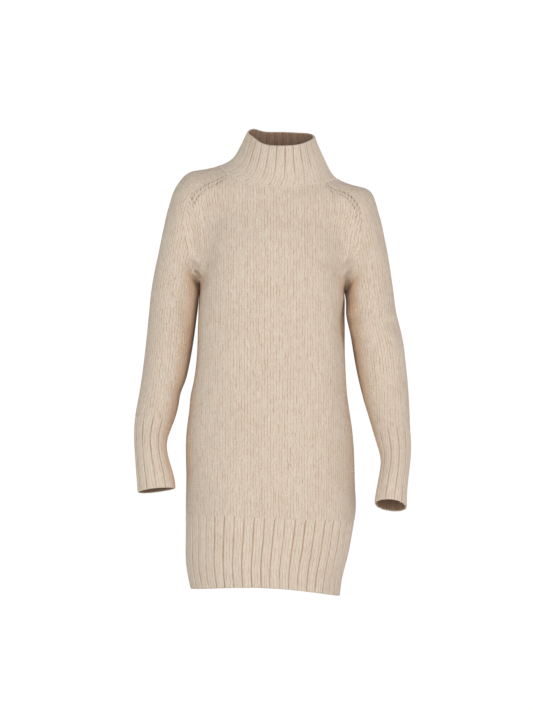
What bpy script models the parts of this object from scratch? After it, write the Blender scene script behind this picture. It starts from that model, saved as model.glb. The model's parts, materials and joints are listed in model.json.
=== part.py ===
"""A knitted sweater dress as it is worn: funnel collar, raglan sleeves, deep ribbed hem and cuffs.

Each piece is a thin wall. All the pieces lie on one smooth form, a trunk and two sleeves that flow into
each other, so that neighbours meet along the same seam. Metres, +Z up, the front faces -Y, and the origin
is in the middle of the neck opening, level with the tops of the shoulders.
"""

import math

import bmesh
import bpy
import numpy as np

NAME = "sweater_dress"
KNIT_WALL = 0.003
RIB_WALL = 0.0035
SEAM_GAP = 0.0003
SELVEDGE_SHARE = 0.008
LEFT, RIGHT = -1, 1
BOTTOM, TOP = 0, -1
KNIT_COLOUR = (0.63, 0.53, 0.43)
RIB_COLOUR = (0.60, 0.50, 0.40)

# Sections of the trunk, from the hem up. The corner exponent is 2 for an ellipse and more for a squarer one.
TRUNK = np.array(
    [
        # height, left, right, front, back, corner
        (-0.890, -0.1790, 0.1290, -0.114, 0.110, 2.35),
        (-0.865, -0.1825, 0.1330, -0.117, 0.114, 2.35),
        (-0.800, -0.1905, 0.1455, -0.124, 0.122, 2.35),
        (-0.716, -0.1955, 0.1560, -0.130, 0.131, 2.35),
        (-0.620, -0.1960, 0.1590, -0.132, 0.134, 2.35),
        (-0.540, -0.1945, 0.1560, -0.130, 0.127, 2.35),
        (-0.460, -0.1830, 0.1460, -0.126, 0.115, 2.40),
        (-0.386, -0.1730, 0.1410, -0.124, 0.107, 2.45),
        (-0.300, -0.1695, 0.1395, -0.127, 0.104, 2.50),
        (-0.235, -0.1650, 0.1360, -0.130, 0.111, 2.50),
        (-0.185, -0.1620, 0.1350, -0.129, 0.114, 2.50),
        (-0.135, -0.1590, 0.1340, -0.121, 0.113, 2.40),
        (-0.090, -0.1530, 0.1310, -0.107, 0.104, 2.30),
        (-0.050, -0.1420, 0.1260, -0.095, 0.092, 2.20),
        (-0.020, -0.1330, 0.1200, -0.087, 0.081, 2.10),
        (0.005, -0.1250, 0.1140, -0.081, 0.072, 2.05),
        (0.030, -0.1110, 0.1000, -0.075, 0.065, 2.00),
        (0.060, -0.0930, 0.0880, -0.072, 0.060, 2.00),
    ]
)

# The middle line of each sleeve from inside the neck to the end of the cuff, with its half width and depth.
SLEEVE = {
    LEFT: np.array(
        [
            # x, y, z, half width, half depth
            (-0.045, -0.003, -0.042, 0.050, 0.064),
            (-0.105, -0.003, -0.038, 0.050, 0.063),
            (-0.150, -0.003, -0.040, 0.050, 0.061),
            (-0.182, -0.003, -0.064, 0.053, 0.060),
            (-0.194, -0.003, -0.105, 0.048, 0.059),
            (-0.203, -0.003, -0.160, 0.0485, 0.058),
            (-0.2160, -0.003, -0.235, 0.0510, 0.057),
            (-0.2235, 0.000, -0.300, 0.0505, 0.056),
            (-0.235, 0.002, -0.386, 0.0480, 0.054),
            (-0.251, -0.010, -0.470, 0.0440, 0.048),
            (-0.2625, -0.020, -0.512, 0.0405, 0.043),
            (-0.270, -0.030, -0.560, 0.0340, 0.038),
            (-0.267, -0.040, -0.600, 0.0355, 0.039),
            (-0.2625, -0.050, -0.640, 0.0385, 0.041),
            (-0.260, -0.056, -0.662, 0.0385, 0.042),
        ]
    ),
    RIGHT: np.array(
        [
            # x, y, z, half width, half depth
            (0.045, -0.003, -0.064, 0.047, 0.064),
            (0.095, -0.003, -0.063, 0.048, 0.063),
            (0.135, -0.003, -0.066, 0.049, 0.061),
            (0.162, -0.003, -0.087, 0.053, 0.060),
            (0.173, -0.003, -0.128, 0.0485, 0.059),
            (0.182, -0.003, -0.182, 0.0485, 0.058),
            (0.188, -0.003, -0.240, 0.0515, 0.057),
            (0.1985, 0.002, -0.306, 0.0505, 0.056),
            (0.206, 0.004, -0.340, 0.0530, 0.056),
            (0.213, 0.003, -0.386, 0.0520, 0.054),
            (0.223, -0.008, -0.450, 0.0485, 0.049),
            (0.233, -0.024, -0.512, 0.0420, 0.043),
            (0.2420, -0.042, -0.560, 0.0360, 0.038),
            (0.2475, -0.054, -0.590, 0.0350, 0.038),
            (0.2440, -0.068, -0.630, 0.0350, 0.040),
            (0.2360, -0.084, -0.675, 0.0375, 0.042),
            (0.2340, -0.090, -0.692, 0.0375, 0.042),
        ]
    ),
}
UNDERARM_HEIGHT = {LEFT: -0.232, RIGHT: -0.240}
RIB_START = {LEFT: -0.512, RIGHT: -0.540}
SHOULDER_BLEND = 0.050
BLEND_RISE = 0.080

# Each raglan seam as it is seen from in front and from behind, between the underarm and the neck.
RAGLAN = {
    LEFT: np.array(
        [
            # x, z
            (-0.1780, -0.195),
            (-0.1920, -0.160),
            (-0.2005, -0.120),
            (-0.1995, -0.080),
            (-0.1900, -0.050),
            (-0.1700, -0.027),
            (-0.1450, -0.012),
        ]
    ),
    RIGHT: np.array(
        [
            # x, z
            (0.1500, -0.205),
            (0.1660, -0.170),
            (0.1770, -0.130),
            (0.1780, -0.090),
            (0.1690, -0.060),
            (0.1500, -0.040),
            (0.1320, -0.028),
        ]
    ),
}

# The neck seam is a ring round a middle point. It is highest at the sides and lowest at the front.
NECK_MIDDLE = (0.000, -0.005)
NECK_HEIGHT = {"front": -0.027, "back": 0.010, LEFT: 0.022, RIGHT: -0.005}
NECK_PEAK = 4
RAGLAN_END_DEGREES = 25
RIM_MIDDLE = (0.0015, -0.012)
RIM_HALF_WIDTH = 0.0765
RIM_HALF_DEPTH = 0.0650
RIM_HEIGHT = 0.0785
RIM_TILT = 0.0165
COLLAR_HOLLOW = 1.7

HEM_TOP = -0.716
HEM_TOP_SLOPE = -0.045
HEM_END = -0.876
HEM_END_SLOPE = -0.050
HEM_LIFT = 0.012
HEM_MIDDLE = -0.020
HEM_HALF_WIDTH = 0.160

# Soft troughs where the cloth is drawn in, by both ends as seen from in front. Each is shallower at its end.
FOLDS = np.array(
    [
        # x start, z start, x end, z end, depth, half width
        (-0.180, -0.205, -0.128, -0.165, 0.0040, 0.020),
        (0.146, -0.212, 0.087, -0.170, 0.0040, 0.020),
        (-0.203, -0.262, -0.194, -0.325, 0.0050, 0.018),
        (0.250, -0.318, 0.172, -0.272, 0.0045, 0.016),
        (-0.213, -0.500, -0.293, -0.478, 0.0030, 0.014),
    ]
)

FOLD_FADE = 0.6

# How finely each piece is divided.
TRUNK_ROWS = 16
YOKE_ROWS = 10
PANEL_COLUMNS = 17
SLEEVE_ROWS = 11
SLEEVE_COLUMNS = 13
RIB_ROWS = 5
COLLAR_ROWS = 3


def curve(table, at):
    """A smooth curve through the rows of a table, whose first column is where each row holds."""
    places, values = table[:, 0], table[:, 1:]
    steps = np.diff(places)[:, None]
    slopes = np.diff(values, axis=0) / steps
    share = steps[:-1] / (steps[:-1] + steps[1:])
    tangents = np.vstack([slopes[:1], slopes[:-1] * (1 - share) + slopes[1:] * share, slopes[-1:]])
    at = np.clip(np.asarray(at, float), places[0], places[-1])
    row = np.clip(np.searchsorted(places, at, side="right") - 1, 0, len(places) - 2)
    step = steps[row]
    t = (at - places[row])[..., None] / step
    start, end = values[row], values[row + 1]
    rise = end - start
    leave = tangents[row] * step
    arrive = tangents[row + 1] * step
    return start + t * (leave + t * (3 * rise - 2 * leave - arrive + t * (leave + arrive - 2 * rise)))


def ease(t):
    """0 to 1 with no corner at either end."""
    t = np.clip(t, 0, 1)
    return t * t * (3 - 2 * t)


def unit(v):
    return v / np.linalg.norm(v, axis=-1, keepdims=True)


def lengths_along(points):
    """How far along a line each of its points lies."""
    return np.concatenate([[0], np.cumsum(np.linalg.norm(np.diff(points, axis=0), axis=1))])


def trunk_middle(height):
    left, right, front, back, _ = np.moveaxis(curve(TRUNK, height), -1, 0)
    return (left + right) / 2, (front + back) / 2


def outside_trunk(p):
    """How far a point lies outside the trunk, and below 0 inside it."""
    left, right, front, back, corner = np.moveaxis(curve(TRUNK, p[..., 2]), -1, 0)
    across = np.abs(p[..., 0] - (left + right) / 2)
    along = np.abs(p[..., 1] - (front + back) / 2)
    reach = (2 * across / (right - left)) ** corner + (2 * along / (back - front)) ** corner
    return np.hypot(across, along) * (1 - np.maximum(reach, 1e-9) ** (-1 / corner))


class Arm:
    """One sleeve's form: a tube of ellipses on a smooth middle line, from the neck to the cuff."""

    SAMPLES = 150
    NEARBY = 1e-3

    def __init__(self, side):
        rows = SLEEVE[side]
        self.side = side
        self.table = np.column_stack([lengths_along(rows[:, :3]), rows])
        self.length = self.table[-1, 0]
        self.places = np.linspace(0, self.length, self.SAMPLES)
        self.line = curve(self.table, self.places)[:, :3]

    def place_at_height(self, height):
        """How far down the sleeve its middle line passes a height."""
        down = self.line[:, 2] < height
        return np.interp(-height, -self.line[down.argmax() - 1 :, 2], self.places[down.argmax() - 1 :])

    def section(self, place):
        """The middle of a section, its outward, back and lengthwise directions, and its two half sizes."""
        row = curve(self.table, place)
        after = curve(self.table, np.minimum(place + self.NEARBY, self.length))
        before = curve(self.table, np.maximum(place - self.NEARBY, 0))
        down = unit(after[..., :3] - before[..., :3])
        back = unit(np.array([0.0, 1.0, 0.0]) - down[..., 1:2] * down)
        outward = np.cross(back, down) * -self.side
        return row[..., :3], outward, back, down, row[..., 3], row[..., 4]

    def outside(self, p):
        """How far a point lies outside the sleeve, and below 0 inside it."""
        flat = p.reshape(-1, 3)
        starts, steps = self.line[:-1], np.diff(self.line, axis=0)
        along = ((flat[:, None] - starts) * steps).sum(-1) / (steps * steps).sum(-1)
        along = np.clip(along, 0, 1)
        away = np.linalg.norm(flat[:, None] - starts - along[..., None] * steps, axis=-1)
        nearest = away.argmin(1)
        share = along[np.arange(len(flat)), nearest]
        place = self.places[nearest] + share * (self.places[1] - self.places[0])
        middle, outward, back, down, half_width, half_depth = self.section(place)
        offset = flat - middle
        across, deep = (offset * outward).sum(-1), (offset * back).sum(-1)
        reach = np.maximum(np.hypot(across / half_width, deep / half_depth), 1e-9)
        side_gap = np.hypot(across, deep) * (1 - 1 / reach)
        past_end = np.where((place > 0) & (place < self.length), 0, np.abs((offset * down).sum(-1)))
        return np.where(past_end > 0, np.maximum(side_gap, past_end), side_gap).reshape(p.shape[:-1])


ARM = {LEFT: Arm(LEFT), RIGHT: Arm(RIGHT)}


def flow_together(a, b, width):
    """The smaller of two distances, with the corner between them rounded over a width."""
    width = np.maximum(width, 1e-9)
    share = np.clip(0.5 + 0.5 * (b - a) / width, 0, 1)
    return b + (a - b) * share - width * share * (1 - share)


def outside_dress(p):
    """Trunk and sleeves as one form, joined above the underarms and sharply apart below them."""
    found = outside_trunk(p)
    for side, arm in ARM.items():
        blend = SHOULDER_BLEND * ease((p[..., 2] - UNDERARM_HEIGHT[side]) / BLEND_RISE)
        found = flow_together(found, arm.outside(p), blend)
    return found


def ray(start, direction, outside, reach=0.30):
    """Where a ray first leaves the form."""
    start, direction = np.broadcast_arrays(start, direction)
    steps = np.linspace(0, reach, 41)
    samples = start[..., None, :] + steps[:, None] * direction[..., None, :]
    first = np.maximum((outside(samples) > 0).argmax(-1), 1)
    low, high = steps[first - 1], steps[first]
    for _ in range(18):
        middle = (low + high) / 2
        out = outside(start + middle[..., None] * direction) > 0
        low, high = np.where(out, low, middle), np.where(out, middle, high)
    return start + high[..., None] * direction


def slope(p, outside, nearby=5e-4):
    """The direction straight out of the form at each point."""
    sides = [outside(p + nearby * axis) - outside(p - nearby * axis) for axis in np.eye(3)]
    return np.stack(sides, -1) / (2 * nearby)


def fold_depth(p, normal):
    """How far each point is pressed in by the soft troughs, where the cloth faces forward."""
    depth = np.zeros(p.shape[:-1])
    for x_start, z_start, x_end, z_end, deep, half_width in FOLDS:
        start = np.array([x_start, z_start])
        run = np.array([x_end, z_end]) - start
        offset = p[..., [0, 2]] - start
        share = np.clip((offset * run).sum(-1) / (run * run).sum(), 0, 1)
        away = np.linalg.norm(offset - share[..., None] * run, axis=-1)
        facing = ease(-2 * normal[..., 1])
        depth += deep * (1 - FOLD_FADE * share) * np.exp(-((away / half_width) ** 2)) * facing
    return depth


def shares(count, edge, both=True):
    """Even steps from 0 to 1 with a narrow one first, and last too, so that a wall's edge stands square."""
    inner = np.linspace(edge, 1 - edge if both else 1, count)
    return np.concatenate([[0], inner, [1] if both else []])


def spaced(points, at):
    """Points at shares of a line's length."""
    travelled = lengths_along(points)
    at = at * travelled[-1]
    return np.stack([np.interp(at, travelled, values) for values in points.T], -1)


def neck_seam(degrees):
    """Points of the seam under the collar, by angle: 0 at the right, 90 at the back, 270 at the front."""
    turn = np.radians(np.asarray(degrees, float))
    side = np.where(np.cos(turn) < 0, NECK_HEIGHT[LEFT], NECK_HEIGHT[RIGHT])
    middle = np.where(np.sin(turn) < 0, NECK_HEIGHT["front"], NECK_HEIGHT["back"])
    height = middle + (side - middle) * np.abs(np.cos(turn)) ** NECK_PEAK
    start = np.stack([np.full_like(turn, NECK_MIDDLE[0]), np.full_like(turn, NECK_MIDDLE[1]), height], -1)
    out = np.stack([np.cos(turn), np.sin(turn), np.zeros_like(turn)], -1)
    return ray(start, out, outside_dress)


def neck_edge(start, end, columns):
    """A stretch of the neck seam between two angles, at shares of its length."""
    return spaced(neck_seam(np.linspace(start, end, 61)), columns)


def underarm_point(side):
    height = UNDERARM_HEIGHT[side]
    left, right, front, back, _ = curve(TRUNK, height)
    return np.array([right if side > 0 else left, (front + back) / 2, height])


def face_on(x, z, back):
    """Points of the form seen straight from in front, or from behind."""
    start = np.stack([x, np.full_like(x, 0.25 if back else -0.25), z], -1)
    inward = np.array([0.0, -1.0 if back else 1.0, 0.0])
    return ray(start, inward, lambda p: -outside_dress(p))


def neck_end(side, back):
    """Where a raglan seam meets the neck seam, in degrees round the neck."""
    toward_back = side if back else -side
    return (0 if side > 0 else 180) + RAGLAN_END_DEGREES * toward_back


def places_of(side, seen):
    """How far down the sleeve points lie that are seen from in front."""
    arm = ARM[side]
    places = np.linspace(0, arm.length, 600)
    middles = arm.section(places)[0]
    away = np.linalg.norm(seen[:, None] - middles[:, [0, 2]], axis=-1)
    return places[away.argmin(1)]


def raglan_seam(side, back):
    """The seam from the underarm up to the neck, one point for each row of the yoke.

    The steps share out the seam's own length and the length over the top of the shoulder, so that the
    arcs over the arm that start here keep even spaces on its outer side too.
    """
    low, high = underarm_point(side), neck_seam(neck_end(side, back))
    guide = np.vstack([low[[0, 2]], RAGLAN[side], high[[0, 2]]])
    table = np.column_stack([lengths_along(guide), guide])
    fine = curve(table, np.linspace(0, table[-1, 0], 301))
    middle, outward, _, _, half_width, _ = ARM[side].section(places_of(side, fine))
    over = (middle + outward * half_width[:, None])[:, [0, 2]]
    travelled = lengths_along(fine) + lengths_along(over)
    steps = np.linspace(0, travelled[-1], YOKE_ROWS + 1)
    x, z = (np.interp(steps, travelled, values) for values in fine.T)
    points = face_on(x, z, back)
    points[0], points[-1] = low, high
    return points


def arm_points(side, place, turns, outside):
    """Points round a sleeve by angle from its outer side, negative in front."""
    middle, outward, back, _, _, _ = ARM[side].section(np.asarray(place))
    out = np.cos(turns)[..., None] * outward + np.sin(turns)[..., None] * back
    return ray(middle, out, outside)


def cap_row(side, front_point, back_point, columns):
    """One row of a sleeve's cap: an arc over the outside of the arm between its two seams."""
    place = places_of(side, front_point[None, [0, 2]])[0]
    middle, outward, back, _, _, _ = ARM[side].section(place)
    ends = [p - middle for p in (front_point, back_point)]
    front_turn, back_turn = (math.atan2(p @ back, p @ outward) for p in ends)
    turns = front_turn + (back_turn - front_turn) * columns
    row = arm_points(side, place, turns, outside_dress)
    row[0], row[-1] = front_point, back_point
    return row


def hem_top_height(x):
    return HEM_TOP + HEM_TOP_SLOPE * x


def level(x, share):
    """The height of a row of the trunk: sloping as the hem rib's top at 0 and as the underarms do at 1."""
    low, high = hem_top_height(x), np.interp(x, *np.array([underarm_point(s)[[0, 2]] for s in ARM]).T)
    return low + (high - low) * share


def hem_height(x, share, back):
    """The height of a row of the hem rib: its lower edge is lower at the right and lifts at the middle."""
    lift = HEM_LIFT * np.cos(np.clip((x - HEM_MIDDLE) / HEM_HALF_WIDTH, -1, 1) * math.pi / 2)
    end = HEM_END + HEM_END_SLOPE * x + lift * (0.5 if back else 1)
    return end + (hem_top_height(x) - end) * share


def trunk_row(height_of_x, columns, back):
    """A row across the trunk from the left side seam to the right one, evenly spaced along its length."""
    turns = np.linspace(math.pi, 0 if back else 2 * math.pi, 121)
    out = np.stack([np.cos(turns), np.sin(turns), np.zeros_like(turns)], -1)
    height = np.full_like(turns, height_of_x(0))
    for _ in range(3):
        points = ray(np.stack([*trunk_middle(height), height], -1), out, outside_trunk)
        height = height_of_x(points[:, 0])
    return spaced(points, columns)


def yoke_row(left, right, dip, columns, back):
    """A row across the yoke between two raglan seam points, dipping towards the shape of the neck seam."""
    u = np.linspace(0, 1, 121)
    x = left[0] + (right[0] - left[0]) * u
    z = left[2] + (right[2] - left[2]) * u + np.interp(u, *dip)
    points = face_on(x, z, back)
    points[0], points[-1] = left, right
    return spaced(points, columns)


def body_grid(back):
    """Front or back: rows from the hem rib up to the neck seam, between the side and raglan seams."""
    columns = shares(PANEL_COLUMNS, SELVEDGE_SHARE)
    rows = []
    for share in shares(TRUNK_ROWS, 0.007, both=False):
        rows.append(trunk_row(lambda x: level(x, share), columns, back))
    left, right = raglan_seam(LEFT, back), raglan_seam(RIGHT, back)
    rows[-1][0], rows[-1][-1] = left[0], right[0]
    neck = neck_edge(neck_end(LEFT, back), neck_end(RIGHT, back) + (0 if back else 360), columns)
    u = (neck[:, 0] - left[-1, 0]) / (right[-1, 0] - left[-1, 0])
    sag = neck[:, 2] - (left[-1, 2] + (right[-1, 2] - left[-1, 2]) * u)
    for index in range(1, YOKE_ROWS):
        near_neck = (index / YOKE_ROWS) ** 2
        rows.append(yoke_row(left[index], right[index], (u, sag * near_neck), columns, back))
    rows.append(neck)
    return np.array(rows)


def hem_grid(back):
    """Rows from the lower edge up to the seam under the body."""
    columns = shares(PANEL_COLUMNS, SELVEDGE_SHARE)
    rows = []
    for share in shares(RIB_ROWS, 0.02):
        rows.append(trunk_row(lambda x: hem_height(x, share, back), columns, back))
    return np.array(rows)


def sleeve_grid(side):
    """Whole rings from the cuff up to the underarm, then arcs over the shoulder as far as the neck seam."""
    arm = ARM[side]
    columns = shares(SLEEVE_COLUMNS, SELVEDGE_SHARE)
    rib_place, low_place = (arm.place_at_height(h) for h in (RIB_START[side], UNDERARM_HEIGHT[side]))
    rows = []
    for share in shares(SLEEVE_ROWS, 0.012, both=False):
        place = rib_place + (low_place - rib_place) * share
        rows.append(arm_points(side, place, math.pi * (2 * columns - 1), arm.outside))
    rows[-1][[0, -1]] = underarm_point(side) + np.array([side * SEAM_GAP, 0, 0])
    front_seam, back_seam = raglan_seam(side, False), raglan_seam(side, True)
    for front_point, back_point in zip(front_seam[1:-1], back_seam[1:-1]):
        rows.append(cap_row(side, front_point, back_point, columns))
    rows.append(neck_edge(neck_end(side, False), neck_end(side, True), columns))
    return np.array(rows)


def cuff_grid(side):
    arm = ARM[side]
    columns = shares(SLEEVE_COLUMNS, SELVEDGE_SHARE)
    start = arm.place_at_height(RIB_START[side])
    end = arm.length - 2 * arm.NEARBY
    rows = []
    for share in shares(RIB_ROWS, 0.02):
        row = arm_points(side, end + (start - end) * share, math.pi * (2 * columns - 1), arm.outside)
        rows.append(row)
    return np.array(rows)


def collar_grid():
    """Rings from the neck seam up to the rim, with the columns of the four pieces that it is sewn to."""
    panel = shares(PANEL_COLUMNS, SELVEDGE_SHARE)
    sleeve = shares(SLEEVE_COLUMNS, SELVEDGE_SHARE)
    stretches = [
        neck_edge(neck_end(LEFT, False), neck_end(RIGHT, False) + 360, panel),
        neck_edge(neck_end(RIGHT, False), neck_end(RIGHT, True), sleeve),
        neck_edge(neck_end(RIGHT, True), neck_end(LEFT, True), panel),
        neck_edge(neck_end(LEFT, True), neck_end(LEFT, False), sleeve),
    ]
    base = np.vstack([points[:-1] for points in stretches] + [stretches[0][:1]])
    around = np.arctan2(base[:, 1] - NECK_MIDDLE[1], base[:, 0] - NECK_MIDDLE[0])
    rim = np.stack(
        [
            RIM_MIDDLE[0] + RIM_HALF_WIDTH * np.cos(around),
            RIM_MIDDLE[1] + RIM_HALF_DEPTH * np.sin(around),
            RIM_HEIGHT + RIM_TILT * np.sin(around),
        ],
        -1,
    )
    up = shares(COLLAR_ROWS, 0.03)[:, None, None]
    share = np.concatenate([1 - (1 - up) ** COLLAR_HOLLOW] * 2 + [up], -1)
    return base + (rim - base) * share


def form_slope(grid, rows_below, outside_below):
    """The direction out of the form: out of the trunk or one sleeve in the first rows, then out of both."""
    below = slope(grid[:rows_below], outside_below)
    return unit(np.concatenate([below, slope(grid[rows_below:], outside_dress)]))


def collar_slope(grid):
    """The direction out of the collar, which at its seam is the direction out of the form."""
    wrapped = np.concatenate([grid[:, -2:-1], grid, grid[:, 1:2]], axis=1)
    out = unit(np.cross(wrapped[:, 2:] - wrapped[:, :-2], np.gradient(grid, axis=0)))
    out[0] = unit(slope(grid[0], outside_dress))
    return out


def pull_in(grid, ends, sides_from):
    """Half the seam gap taken off each edge that meets a neighbour: the end rows, then the side columns."""
    half = SEAM_GAP / 2
    moved = grid.copy()
    for edge in ends:
        moved[edge] += half * unit(grid[1 if edge == BOTTOM else -2] - grid[edge])
    rows = slice(sides_from + 1 if sides_from else 0, None)
    for edge, inner in ((0, 1), (-1, -2)):
        moved[rows, edge] += half * unit(grid[rows, inner] - grid[rows, edge])
    return moved


def knit(name, grid, normal, wall, ends, sides_from, colour):
    """A grid of points as a wall of cloth, with its own edges closed and its closed rings joined.

    The inner points lie straight under the outer ones, along the form's own slope. Solidify would tip
    each edge by its own facets, and the edges of two pieces would cross at their seam.
    """
    outer = grid - fold_depth(grid, normal)[..., None] * normal
    layers = [pull_in(layer, ends, sides_from) for layer in (outer, outer - wall * normal)]
    index = np.arange(2 * grid[..., 0].size).reshape(2, *grid.shape[:2])
    faces = []
    for layer in index:
        quads = np.stack([layer[:-1, :-1], layer[:-1, 1:], layer[1:, 1:], layer[1:, :-1]], -1)
        faces += quads.reshape(-1, 4).tolist()
    for edge in (index[:, 0], index[:, -1], index[:, sides_from:, 0], index[:, sides_from:, -1]):
        faces += np.stack([edge[0, :-1], edge[0, 1:], edge[1, 1:], edge[1, :-1]], -1).tolist()
    mesh = bpy.data.meshes.new(name)
    mesh.from_pydata(np.reshape(layers, (-1, 3)), [], faces)
    sheet = bmesh.new()
    sheet.from_mesh(mesh)
    bmesh.ops.remove_doubles(sheet, verts=sheet.verts, dist=1e-6)
    bmesh.ops.recalc_face_normals(sheet, faces=sheet.faces)
    sheet.to_mesh(mesh)
    sheet.free()
    mesh.materials.append(yarn("yarn_" + name, colour))
    return bpy.data.objects.new(name, mesh)


def yarn(name, colour):
    material = bpy.data.materials.new(name)
    material.use_nodes = True
    shader = material.node_tree.nodes["Principled BSDF"]
    shader.inputs["Base Color"].default_value = (*colour, 1)
    shader.inputs["Roughness"].default_value = 0.95
    shader.inputs["Metallic"].default_value = 0
    return material


def body(name, back):
    grid = body_grid(back)
    normal = form_slope(grid, TRUNK_ROWS + 1, outside_trunk)
    return knit("body_" + name, grid, normal, KNIT_WALL, (BOTTOM, TOP), 0, KNIT_COLOUR)


def hem(name, back):
    grid = hem_grid(back)
    normal = form_slope(grid, len(grid), outside_trunk)
    return knit("hem_" + name, grid, normal, RIB_WALL, (TOP,), 0, RIB_COLOUR)


def sleeve(name, side):
    grid = sleeve_grid(side)
    rings = len(grid) - YOKE_ROWS
    normal = form_slope(grid, rings, ARM[side].outside)
    return knit("sleeve_" + name, grid, normal, KNIT_WALL, (BOTTOM, TOP), rings - 1, KNIT_COLOUR)


def cuff(name, side):
    grid = cuff_grid(side)
    normal = form_slope(grid, len(grid), ARM[side].outside)
    return knit("cuff_" + name, grid, normal, RIB_WALL, (TOP,), len(grid), RIB_COLOUR)


def collar():
    grid = collar_grid()
    return knit("collar", grid, collar_slope(grid), RIB_WALL, (BOTTOM,), len(grid), RIB_COLOUR)


def main():
    for old in list(bpy.data.objects):
        bpy.data.objects.remove(old)
    dress = bpy.data.collections.new(NAME)
    bpy.context.scene.collection.children.link(dress)
    pieces = [collar()]
    for name, back in (("front", False), ("back", True)):
        pieces += [body(name, back), hem(name, back)]
    for name, side in (("left", LEFT), ("right", RIGHT)):
        pieces += [sleeve(name, side), cuff(name, side)]
    for piece in pieces:
        dress.objects.link(piece)


main()
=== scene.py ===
# %% [markdown]
# # A knitted sweater dress
# The dress is nine pieces of heavy wool knit, sewn together as it is worn: a front and a back, two raglan
# sleeves, a funnel collar, and a deep ribbed border round the hem and round each wrist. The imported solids
# give each piece its true place and form, as a wall of a few hundred flat faces. Here every piece becomes a
# fine skin of cloth over that form, with its ribs, creases, seams and stitches.

# %% Tools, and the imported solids
import json
import math

import bmesh
import bpy
import numpy as np
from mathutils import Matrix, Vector
from mathutils.bvhtree import BVHTree
from mathutils.kdtree import KDTree

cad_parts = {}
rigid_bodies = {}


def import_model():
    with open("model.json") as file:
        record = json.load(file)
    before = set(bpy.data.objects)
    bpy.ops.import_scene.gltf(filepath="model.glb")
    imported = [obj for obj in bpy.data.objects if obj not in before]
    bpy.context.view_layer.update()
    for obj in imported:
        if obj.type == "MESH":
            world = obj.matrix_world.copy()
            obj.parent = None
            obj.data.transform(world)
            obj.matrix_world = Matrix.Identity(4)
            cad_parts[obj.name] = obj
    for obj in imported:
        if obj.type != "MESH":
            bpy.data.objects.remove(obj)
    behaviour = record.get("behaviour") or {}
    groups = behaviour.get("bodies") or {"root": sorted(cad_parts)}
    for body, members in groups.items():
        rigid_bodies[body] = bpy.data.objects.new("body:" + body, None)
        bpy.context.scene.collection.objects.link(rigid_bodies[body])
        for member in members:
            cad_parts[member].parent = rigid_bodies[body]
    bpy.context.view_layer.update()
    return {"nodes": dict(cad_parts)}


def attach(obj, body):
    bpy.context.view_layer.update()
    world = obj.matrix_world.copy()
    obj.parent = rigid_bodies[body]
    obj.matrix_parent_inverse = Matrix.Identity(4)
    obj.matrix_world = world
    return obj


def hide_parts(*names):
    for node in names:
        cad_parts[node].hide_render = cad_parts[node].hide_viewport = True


for leftover in list(bpy.data.objects):
    bpy.data.objects.remove(leftover)
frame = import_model()
print("the solids:", ", ".join(sorted(frame["nodes"])))

# %% [markdown]
# ## The camera
# A long lens far away keeps the left and right edges of the dress as straight as the eye sees them. The
# camera looks level along +Y at the middle of the dress, a little to its left, with room above the collar.

# %% The camera
VIEW_MIDDLE = (-0.0263, -0.376)
VIEW_DISTANCE = 14.0
VIEW_HEIGHT = 1.491
SENSOR = 36.0

view = bpy.data.cameras.new("camera")
view.sensor_width = SENSOR
view.lens = SENSOR * VIEW_DISTANCE / VIEW_HEIGHT
camera = bpy.data.objects.new("camera", view)
camera.location = (VIEW_MIDDLE[0], -VIEW_DISTANCE, VIEW_MIDDLE[1])
camera.rotation_euler = (math.radians(90), 0, 0)
bpy.context.collection.objects.link(camera)
bpy.context.scene.camera = camera
print(f"lens {view.lens:.0f} mm at {VIEW_DISTANCE} m")

# %% [markdown]
# ## One smooth form
# Each solid is a closed wall: an outer face, an inner face, and narrow rims that join them. The cloth needs
# the outer face alone. It can be picked out by walking from face to face and turning back at each sharp
# edge, because only the rims stand square to the rest. The walk that covers the most area is the outer one.

# %% The outer skin of a solid
SAME_POINT = 1e-5
RIM_ANGLE = math.radians(50)
PIECES = sorted(frame["nodes"])


def walk_from(face, seen):
    """The faces that can be reached from one with no sharp edge on the way."""
    found, waiting = [], [face]
    seen.add(face.index)
    while waiting:
        here = waiting.pop()
        found.append(here)
        for edge in here.edges:
            if len(edge.link_faces) != 2 or edge.calc_face_angle() > RIM_ANGLE:
                continue
            for other in edge.link_faces:
                if other.index not in seen:
                    seen.add(other.index)
                    waiting.append(other)
    return found


def outer_skin(node, number):
    """A mesh of the solid's outer face, with the piece's number on each of its faces."""
    skin = bmesh.new()
    skin.from_mesh(frame["nodes"][node].data)
    bmesh.ops.remove_doubles(skin, verts=skin.verts, dist=SAME_POINT)
    skin.faces.index_update()
    seen = set()
    walks = [walk_from(face, seen) for face in skin.faces if face.index not in seen]
    outer = set(max(walks, key=lambda walk: sum(face.calc_area() for face in walk)))
    bmesh.ops.delete(skin, geom=[face for face in skin.faces if face not in outer], context="FACES")
    for face in skin.faces:
        face.material_index = number
    mesh = bpy.data.meshes.new(node + "_skin")
    skin.to_mesh(mesh)
    skin.free()
    return mesh


skins = [outer_skin(node, number) for number, node in enumerate(PIECES)]
print("outer faces:", {node: len(skin.polygons) for node, skin in zip(PIECES, skins)})

# %% [markdown]
# The nine skins are then welded along their seams into one, because cloth that was sewn and steamed runs
# smoothly from piece to piece. The solids carry a narrow strip of faces along each edge to keep the edge
# square. Those strips would show as ripples, so each of their points is folded into the seam beside it.
# What short edges are left inside a piece close up, and the gaps at the corners of the seams are filled.

# %% Three steps that clean a welded skin
SEAM_WELD = 1e-3
EDGE_STRIP = 6e-3
HOLE_SIDES = 5
SHORT_EDGE = 5e-3


def pieces_at(vert):
    """The numbers of the pieces that meet at a point."""
    return {face.material_index for face in vert.link_faces}


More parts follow.
